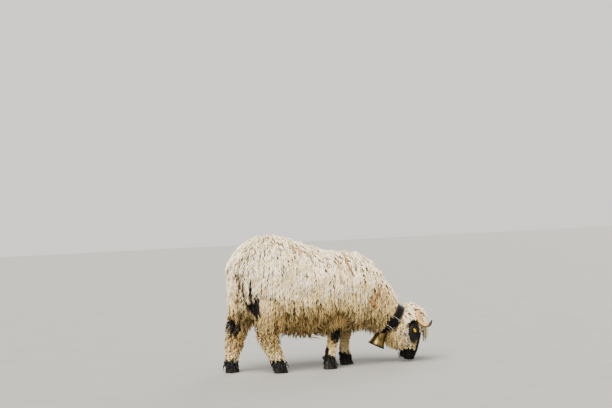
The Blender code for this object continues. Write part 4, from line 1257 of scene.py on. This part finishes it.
def hoof_material():
    made = Material("hoof_horn")
    wear = made.worn(45.0, 0.45, 0.7)
    inputs = {"Vector": made.place(), "Scale": 70.0, "Distortion": 2.0, "Detail": 2.0}
    bands = node(made.tree, "ShaderNodeTexWave", inputs, bands_direction="Z").outputs["Fac"]
    colour = made.mix(made.times(bands, 0.45), paint(16, 13, 12), paint(38, 32, 27))
    dusty = made.mix(made.times(wear["Mask"], 0.45), colour, paint(112, 98, 80))
    made.finish(dusty, made.times(wear["Mask"], 0.3, 0.45), bands, 0.5, 0.0006)


def eye_material():
    made = Material("eye_glass", Coat_Weight=1.0, Coat_Roughness=0.03, IOR=1.38)
    ring = made.number("ring")
    iris = made.mix(made.noise(900.0, Detail=2.0), paint(118, 78, 32), paint(176, 132, 62))
    rimmed = made.mix(made.span(ring, 0.42, 0.52), iris, paint(28, 18, 14))
    white = made.mix(made.span(ring, 0.60, 0.72), rimmed, paint(120, 96, 84))
    made.finish(made.mix(made.number("pupil"), white, paint(8, 8, 12)), 0.12)


def leather_material():
    made = Material("leather_strap", Specular_IOR_Level=0.28)
    wear = made.worn(34.0, 0.46, 0.68)
    grain = made.group("grain", Scale=620.0)["Height"]
    edge = made.span(made.times(made.number("edge"), wear["Fine"]), 0.3, 0.6)
    base = made.mix(made.times(wear["Mask"], 0.55), paint(9, 9, 10), paint(24, 21, 19))
    colour = made.mix(edge, base, paint(84, 66, 50))
    made.finish(colour, made.times(wear["Mask"], 0.28, 0.42), made.times(wear["Fine"], 0.4, grain), 0.45,
                0.0007)


def metal_material(name, bright, dull, dark, scale, rough, stretch):
    """Worn metal with fine scratches: bright where rubbed, dull and dark elsewhere, with painted shade at a
    bell's mouth and inside it from its stored mark.
    """
    made = Material(name)
    wear = made.worn(scale, 0.40, 0.66)
    spots = made.worn(scale * 3.1, 0.58, 0.70)
    lines = made.noise(60.0, made.place(stretch), Detail=4.0)
    base = made.mix(wear["Mask"], bright, dull)
    streaked = made.mix(made.span(lines, 0.42, 0.62, 0.0, 0.5), base, dull)
    # rim: dark spots of the worn metal, with painted shade at the bell's mouth and inside it
    rim = made.maths("MAXIMUM", made.times(spots["Mask"], 0.7), made.number("painted_mouth_shade"))
    feed(made.tree, made.shader.inputs["Metallic"], made.times(rim, -0.55, 0.95))
    scratches = made.times(wear["Fine"], 0.5, lines)
    made.finish(made.mix(rim, streaked, dark), made.times(wear["Mask"], 0.25, rough), scratches, 0.25, 0.0006)


def tag_material():
    made = Material("tag_plastic", Coat_Weight=0.15, Coat_Roughness=0.3)
    wear = made.worn(90.0, 0.5, 0.72)
    colour = made.mix(made.times(wear["Mask"], 0.35), paint(250, 206, 6), paint(196, 150, 20))
    made.finish(colour, made.times(wear["Mask"], 0.25, 0.38), wear["Fine"], 0.2, 0.0004)


def thread_material():
    made = Material("waxed_thread")
    twist = made.noise(2500.0)
    made.finish(made.mix(twist, paint(150, 132, 100), paint(206, 190, 156)), 0.7, twist, 0.4, 0.0003)


def floor_material():
    made = Material("pale_floor")
    made.finish(made.mix(made.noise(3.0, Detail=2.0), paint(134, 133, 130), paint(142, 141, 138)), 0.85)


def make_materials():
    for make in (wool_colour_group, fibres_group, wear_group, grain_group, wool_material, skin_material,
                 horn_material, hoof_material, eye_material, leather_material, tag_material,
                 thread_material, floor_material):
        make()
    metal_material("band_steel", paint(206, 204, 198), paint(150, 146, 138), paint(60, 54, 48),
                   60.0, 0.28, (1, 1, 1))
    metal_material("bell_bronze", paint(158, 138, 92), paint(96, 84, 54), paint(22, 19, 17),
                   26.0, 0.34, (1.0, 6.0, 1.0))


# Small hard parts

def finish(piece, material, replaced=()):
    """Gives a piece its material and ties it to the body."""
    piece.data.materials.clear()
    piece.data.materials.append(bpy.data.materials[material])
    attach(piece, "root")
    if replaced:
        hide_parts(*replaced)
    return piece


def make_horn(ending, sign):
    """A tapering horn with growth rings, dark at its tip, with painted shade on its lower side."""
    count, sides = 120, 28
    x, y, z, radius = resample(HORN, count).T
    centres = np.stack([x, sign * y, z], axis=1)
    axes = np.gradient(centres, axis=0)
    t = np.linspace(0, 1, count)
    ridge = np.abs((t * 15 + 0.12 * np.sin(t * 40)) % 1 - 0.5) * 2
    radius = radius * (0.93 + 0.10 * ridge**0.7 * (1 - t) + 0.03 * np.sin(t * 23) * (1 - t))
    radius[-1] = radius[-2] * 0.5
    loops = ring_loops(centres, axes, radius, radius * 0.88, radius * 0.88, sides, side=UP)
    points, faces = skin_over(loops)
    points = moved(points, HEAD)
    horn = new_piece("horn_sheath_" + ending, points, faces)
    centre = moved(centres, HEAD)
    below = np.repeat(centre[:, 2], sides) - points[:, 2]
    keep_attribute(horn, "along", np.repeat(t, sides))
    # under: painted shade, darker where the horn's surface lies below its middle line
    keep_attribute(horn, "under", ramp(below / np.repeat(radius, sides), 0.1, 0.7))
    return finish(horn, "horn_growth", ["horn_" + ending])


def claw_form(x, y, sign):
    """One claw of a cloven hoof: straight inner wall, pointed toe, flat sole."""
    rows = [(0.0520, 0.030, 0.022, 0.0120), (0.0480, 0.033, 0.029, 0.0138), (0.0300, 0.035, 0.040, 0.0150),
            (0.0080, 0.037, 0.050, 0.0162), (0.0015, 0.0365, 0.0515, 0.0160), (0.0, 0.035, 0.050, 0.0150)]
    sides = 28
    turns = 2 * np.pi * np.arange(sides) / sides
    loops = []
    for z, back, front, half in resample(rows, 16):
        long = np.cos(turns)
        px = x + np.where(long > 0, long * front, long * back)
        taper = 1 - 0.55 * np.clip(long, 0, 1) ** 2
        wide = np.sin(turns) * half * taper
        wide = np.where(wide < 0, np.maximum(wide, -half * 0.92), wide * 1.06)
        py = y + sign * (0.0022 + half * (1 - 0.12 * np.clip(long, 0, 1)) + wide)
        loops.append(np.stack([px, py, np.full(sides, max(z, 0.0))], axis=1))
    return skin_over(np.array(loops))


def make_hoof(name, x, y):
    """A cloven hoof with two dewclaws behind the pastern."""
    parts = [claw_form(x, y, -1), claw_form(x, y, 1)]
    for sign in (-1, 1):
        parts.append(ball_form((x - 0.036, y + sign * 0.012, 0.078), (0.009, 0.007, 0.010), 10, 12))
    hoof = joined(name + "_claws", parts)
    return finish(hoof, "hoof_horn", [name])


def make_eye(ending, sign):
    """A glossy eyeball with a level slot of a pupil."""
    points, faces = ball_form((0, 0, 0), [EYE_RADIUS] * 3, 44, 48)
    gaze = unit(np.array(GAZE) * (1, sign, 1))
    world = np.array(HEAD.to_3x3()) @ gaze
    level = unit(np.cross(world, (0, 0, 1)))
    high = np.cross(level, world)
    local = points / EYE_RADIUS
    turned = local @ np.array(HEAD.to_3x3()).T
    a, b, h = turned @ level, turned @ high, turned @ world
    eye = new_piece("eyeball_" + ending, moved(points + np.array((EYE.x, sign * EYE.y, EYE.z)), HEAD), faces)
    keep_attribute(eye, "ring", np.where(h > 0, np.hypot(a, b), 1.0))
    keep_attribute(eye, "pupil", ramp(1.2 - np.hypot(a / 0.30, b / 0.12), 0, 0.3) * (h > 0))
    return finish(eye, "eye_glass", ["eye_" + ending])


def rounded_band(inner, thick, width, first=0.0, last=360.0, steps=120, soft=0.0012):
    """Points, faces and edge marks of a band bent round the neck, in the collar's frame."""
    half = width / 2
    section = []
    for cx, cr, start in ((half, inner + thick, 0), (-half, inner + thick, 90), (-half, inner, 180),
                          (half, inner, 270)):
        for turn in (0, 30, 60, 90):
            angle = math.radians(start + turn)
            section.append((cx + math.cos(angle) * soft - math.copysign(soft, cx),
                            cr + math.sin(angle) * soft - math.copysign(soft, cr - inner - thick / 2)))
        if start in (0, 180):
            section += [(side * (cx - math.copysign(0.007, cx)), cr) for side in (1, -1)]
    section = np.array(section)
    whole = last - first >= 360
    angles = np.radians(np.linspace(first, last, steps, endpoint=not whole))
    x = np.tile(section[:, 0], (len(angles), 1))
    r = np.tile(section[:, 1], (len(angles), 1))
    points = np.stack([x, -r * np.sin(angles)[:, None], r * np.cos(angles)[:, None]], axis=2)
    edge = ramp(np.abs(section[:, 0]), half - 0.004, half - 0.0005)
    if not whole:
        made, faces = skin_over(points)
    else:
        made, faces = skin_over(np.concatenate([points, points[:1]]))
        made = points.reshape(-1, 3)
        total = len(made)
        faces = [tuple(i % total for i in face) for face in faces[:-2]]
    return made, faces, np.tile(edge, len(angles))


def band_piece(name, material, slot, replaced=(), **sizes):
    points, faces, edge = rounded_band(**sizes)
    piece = new_piece(name, moved(points, COLLAR), faces)
    keep_attribute(piece, "edge", edge)
    return finish(piece, material, replaced)


def repeated(name, points, turns, shape, material):
    """Small copies of a shape at turned places, made by Geometry Nodes as one mesh."""
    cloud = bpy.data.meshes.new(name)
    cloud.from_pydata([tuple(p) for p in points], [], [])
    layer = cloud.attributes.new("turn", "FLOAT_VECTOR", "POINT")
    layer.data.foreach_set("vector", np.array(turns, np.float32).ravel())
    piece = bpy.data.objects.new(name, cloud)
    SCENE.collection.objects.link(piece)
    tree = bpy.data.node_groups.new(name + "_layout", "GeometryNodeTree")
    tree.interface.new_socket("Geometry", in_out="INPUT", socket_type="NodeSocketGeometry")
    size = tree.interface.new_socket("Size", in_out="INPUT", socket_type="NodeSocketFloat")
    tree.interface.new_socket("Geometry", in_out="OUTPUT", socket_type="NodeSocketGeometry")
    given, result = tree.nodes.new("NodeGroupInput"), tree.nodes.new("NodeGroupOutput")
    carried = node(tree, "GeometryNodeObjectInfo", {"Object": shape})
    turn = node(tree, "GeometryNodeInputNamedAttribute", {"Name": "turn"}, data_type="FLOAT_VECTOR")
    copies = node(tree, "GeometryNodeInstanceOnPoints", {
        "Points": given.outputs["Geometry"], "Instance": carried.outputs["Geometry"],
        "Rotation": turn.outputs["Attribute"], "Scale": given.outputs["Size"]})
    real = node(tree, "GeometryNodeRealizeInstances", {"Geometry": copies.outputs[0]})
    dressed = node(tree, "GeometryNodeSetMaterial",
                   {"Geometry": real.outputs[0], "Material": bpy.data.materials[material]})
    tree.links.new(dressed.outputs[0], result.inputs[0])
    step = piece.modifiers.new("layout", "NODES")
    step.node_group = tree
    step[size.identifier] = 1.0
    settle(piece)
    bpy.data.objects.remove(shape)
    piece.data.polygons.foreach_set("use_smooth", [True] * len(piece.data.polygons))
    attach(piece, "root")
    return piece


def collar_spot(angle, radius, aside):
    """A place on the collar and the turn that lays a copy's z outwards, y along the strap."""
    turn = math.radians(angle)
    place = COLLAR @ Vector((aside, -radius * math.sin(turn), radius * math.cos(turn)))
    frame = COLLAR.to_3x3() @ Matrix.Rotation(turn, 3, "X")
    return place, frame.to_euler("XYZ")


def make_stitches():
    """Two rows of thread along the strap's edges."""
    radius = COLLAR_RADIUS + STRAP + 0.0002
    spots = [collar_spot(angle, radius, side * (COLLAR_WIDTH / 2 - 0.006)) for side in (-1, 1)
             for angle in np.arange(0, 360, 4.2)]
    shape = new_piece("one_stitch", *ball_form((0, 0, 0), (0.0007, 0.0022, 0.0006), 6, 8))
    return repeated("collar_stitches", [s[0] for s in spots], [s[1] for s in spots], shape,
                    "waxed_thread")


def make_rivets():
    """Domed rivets on the keeper."""
    reach = COLLAR_RADIUS + STRAP + 0.0123
    spots = [collar_spot(angle, reach, aside) for angle in (100, 128) for aside in (-0.023, 0.023)]
    shape = new_piece("one_rivet", *ball_form((0, 0, 0), (0.0032, 0.0032, 0.0016), 8, 12))
    return repeated("collar_rivets", [s[0] for s in spots], [s[1] for s in spots], shape, "band_steel")


def turned_form(profile, sides):
    """A closed form turned round z from (radius, z) rows."""
    profile = np.array(profile)
    turns = 2 * np.pi * np.arange(sides) / sides
    loops = np.stack([profile[:, :1] * np.cos(turns), profile[:, :1] * np.sin(turns),
                      np.tile(profile[:, 1:], (1, sides))], axis=2)
    return skin_over(loops)


HANGER_TALL = 0.027
BELL_WALL = 0.0026
BELL = [(0.0290, -0.0003), (0.0345, -0.005), (0.038, -0.025), (0.0435, -0.050), (0.050, -0.075),
        (0.057, -0.094), (0.060, -0.100)]


def make_bell():
    """A flared bronze bell with a beaded lip, and its clapper."""
    r, z = resample(BELL, 60).T
    lip = 0.0012 * np.exp(-(((z + 0.0925) / 0.0022) ** 2)) + 0.0008 * np.exp(-(((z + 0.012) / 0.0016) ** 2))
    outer = np.stack([np.minimum(r + lip, 0.0600), z], axis=1)
    inner = np.stack([r - BELL_WALL, z], axis=1)[::-1]
    inner[-1] = (0.0262, -BELL_WALL - 0.0005)
    profile = np.concatenate([[(0.0004, -0.0002)], outer, inner, [(0.0004, -BELL_WALL - 0.0004)]])
    points, faces = turned_form(profile, 72)
    # Painted shade: a dark band at the bell's mouth and darkening over its inside.
    painted_mouth_shade = np.repeat(ramp(-profile[:, 1], 0.091, 0.097), 72)
    inside = np.repeat((np.arange(len(profile)) > len(outer) + 1).astype(float), 72)
    bell = new_piece("bell_cup", moved(points, BELL_FRAME), faces)
    keep_attribute(bell, "painted_mouth_shade", np.maximum(painted_mouth_shade, inside * 0.8))
    finish(bell, "bell_bronze", ["bell"])
    rod = [(0.0006, -0.0040), (0.0030, -0.0042), (0.0030, -0.050), (0.0050, -0.060), (0.0098, -0.068),
           (0.0108, -0.076), (0.0085, -0.083), (0.0030, -0.0868), (0.0006, -0.0872)]
    points, faces = turned_form(resample(rod, 40), 24)
    clapper = new_piece("bell_tongue", moved(points, BELL_FRAME), faces)
    finish(clapper, "band_steel", ["bell_clapper"])


def rounded_block(size, centre, soft, segments=4):
    """A block with rounded edges, as points and faces."""
    bm = bmesh.new()
    bmesh.ops.create_cube(bm, size=1)
    for vert in bm.verts:
        vert.co = Vector([vert.co[k] * size[k] + centre[k] for k in range(3)])
    bmesh.ops.bevel(bm, geom=bm.edges[:], offset=soft, segments=segments, profile=0.5, affect="EDGES")
    made = [v.co.copy() for v in bm.verts], [tuple(v.index for v in f.verts) for f in bm.faces]
    bm.free()
    return made


def make_hanger():
    """The doubled leather loop that carries the bell, and the third band of the collar beside it."""
    radius = COLLAR_RADIUS + STRAP
    middle = HANGER_TALL / 2 + 0.0006
    parts = [rounded_block((0.040, 0.010, HANGER_TALL), (0, side * 0.0098, middle), 0.003)
             for side in (-1, 1)]
    parts.append(rounded_block((0.030, 0.0090, HANGER_TALL * 0.7), (0, 0, middle), 0.002))
    hanger = joined("bell_strap", parts)
    keep_attribute(hanger, "edge", np.zeros(len(hanger.data.vertices)))
    put(hanger, BELL_FRAME)
    finish(hanger, "leather_strap", ["bell_hanger"])
    band_piece("hanger_clip", "band_steel", "steel", inner=radius + 0.0006, thick=0.0040, width=0.066,
               first=147.5, last=149.7, steps=6)


def make_tag():
    """A blank two-plate ear tag with its button."""
    middle, across, out, half, cup = [rows[TAG_ROW] for rows in ear_rows(-1, TAG_ROWS)]
    along = np.cross(across, out)
    frame = Matrix(np.array([along, across, out]).T.tolist()).to_4x4()
    frame = Matrix.Translation(Vector(middle + out * (cup - 0.00175))) @ frame
    frame = HEAD @ frame
    gap = 0.00175 + 0.0008 + 0.0035
    parts = [rounded_block((0.0240, 0.0200, 0.0016), (-0.006, 0, gap), 0.0007, 3),
             rounded_block((0.0190, 0.0160, 0.0016), (0, 0, -gap), 0.0007, 3)]
    button = [(0.0004, -gap - 0.0016), (0.0030, -gap - 0.0014), (0.0034, -gap), (0.0016, -gap + 0.001),
              (0.0015, gap - 0.001), (0.0040, gap), (0.0036, gap + 0.0016), (0.0004, gap + 0.0020)]
    pin = turned_form(resample(button, 30), 20)
    tag = joined("ear_tag_plates", parts + [pin])
    put(tag, frame)
    return finish(tag, "tag_plastic", ["ear_tag"])


def make_collar():
    radius = COLLAR_RADIUS + STRAP
    band_piece("collar_leather", "leather_strap", "leather", ["collar_strap"], inner=COLLAR_RADIUS,
               thick=STRAP, width=COLLAR_WIDTH)
    band_piece("keeper_pad", "leather_strap", "leather", ["collar_keeper"], inner=radius + 0.0003,
               thick=0.0120, width=0.066, first=96, last=132, steps=30, soft=0.0035)
    for name, first, last in (("band_upper", 92.6, 95.0), ("band_lower", 133.0, 135.4)):
        band_piece(name + "_clip", "band_steel", "steel", ["collar_" + name], inner=radius + 0.0003,
                   thick=0.0150, width=0.072, first=first, last=last, steps=6)
    make_stitches()
    make_rivets()


# Studio

def make_studio():
    """The floor, the world and soft lights."""
    points = [(-30, -30, 0), (30, -30, 0), (30, 30, 0), (-30, 30, 0)]
    floor = new_piece("studio_floor", points, [(0, 1, 2, 3)], False)
    floor.data.materials.append(bpy.data.materials["pale_floor"])
    world = bpy.data.worlds.new("studio")
    world.use_nodes = True
    world.node_tree.nodes["Background"].inputs[0].default_value = paint(240, 238, 234)
    world.node_tree.nodes["Background"].inputs[1].default_value = 1.0
    SCENE.world = world
    for name, way, spread, power in (("sky_light", (-0.38, -0.50, 0.86), 50, 6.4),
                                     ("rim_light", (0.55, 0.75, 0.45), 30, 0.9)):
        lamp = bpy.data.lights.new(name, "SUN")
        lamp.angle, lamp.energy = math.radians(spread), power
        lamp.color = (1.0, 0.965, 0.90)
        rig = bpy.data.objects.new(name, lamp)
        rig.rotation_euler = Vector(way).to_track_quat("Z", "Y").to_euler()
        SCENE.collection.objects.link(rig)


def make_camera():
    """A level long lens that sees the right side, turned a little to the rump and rolled with the slope."""
    turn, roll = math.radians(CAMERA_TURN), math.radians(CAMERA_ROLL)
    look = Vector((math.sin(turn), math.cos(turn), 0))
    right = Vector((math.cos(turn), -math.sin(turn), 0))
    lens = bpy.data.cameras.new("camera")
    lens.lens, lens.sensor_width = 80, 36
    camera = bpy.data.objects.new("camera", lens)
    across = right * math.cos(roll) - UP * math.sin(roll)
    upward = right * math.sin(roll) + UP * math.cos(roll)
    turned = Matrix((across, upward, -look)).transposed().to_4x4()
    seen = Vector((-0.14, 0, CAMERA_HEIGHT)) + right * 0.0084
    camera.matrix_world = Matrix.Translation(seen - look * CAMERA_REACH) @ turned
    SCENE.collection.objects.link(camera)
    SCENE.camera = camera


EAR_TREES = {sign: tree_of(ear_form(sign)) for sign in (-1, 1)}
rng = np.random.default_rng(SEED)
make_materials()
make_studio()
make_camera()
skin = make_skin()
mark(skin, places(skin))
finish(skin, "hide", FLESH)
make_coat(skin, rng)
for ending, sign in HANDS:
    make_horn(ending, sign)
    make_eye(ending, sign)
for name, rows in LEGS.items():
    make_hoof(name.replace("leg", "hoof"), rows[-1][0], rows[-1][1])
make_collar()
make_hanger()
make_bell()
make_tag()
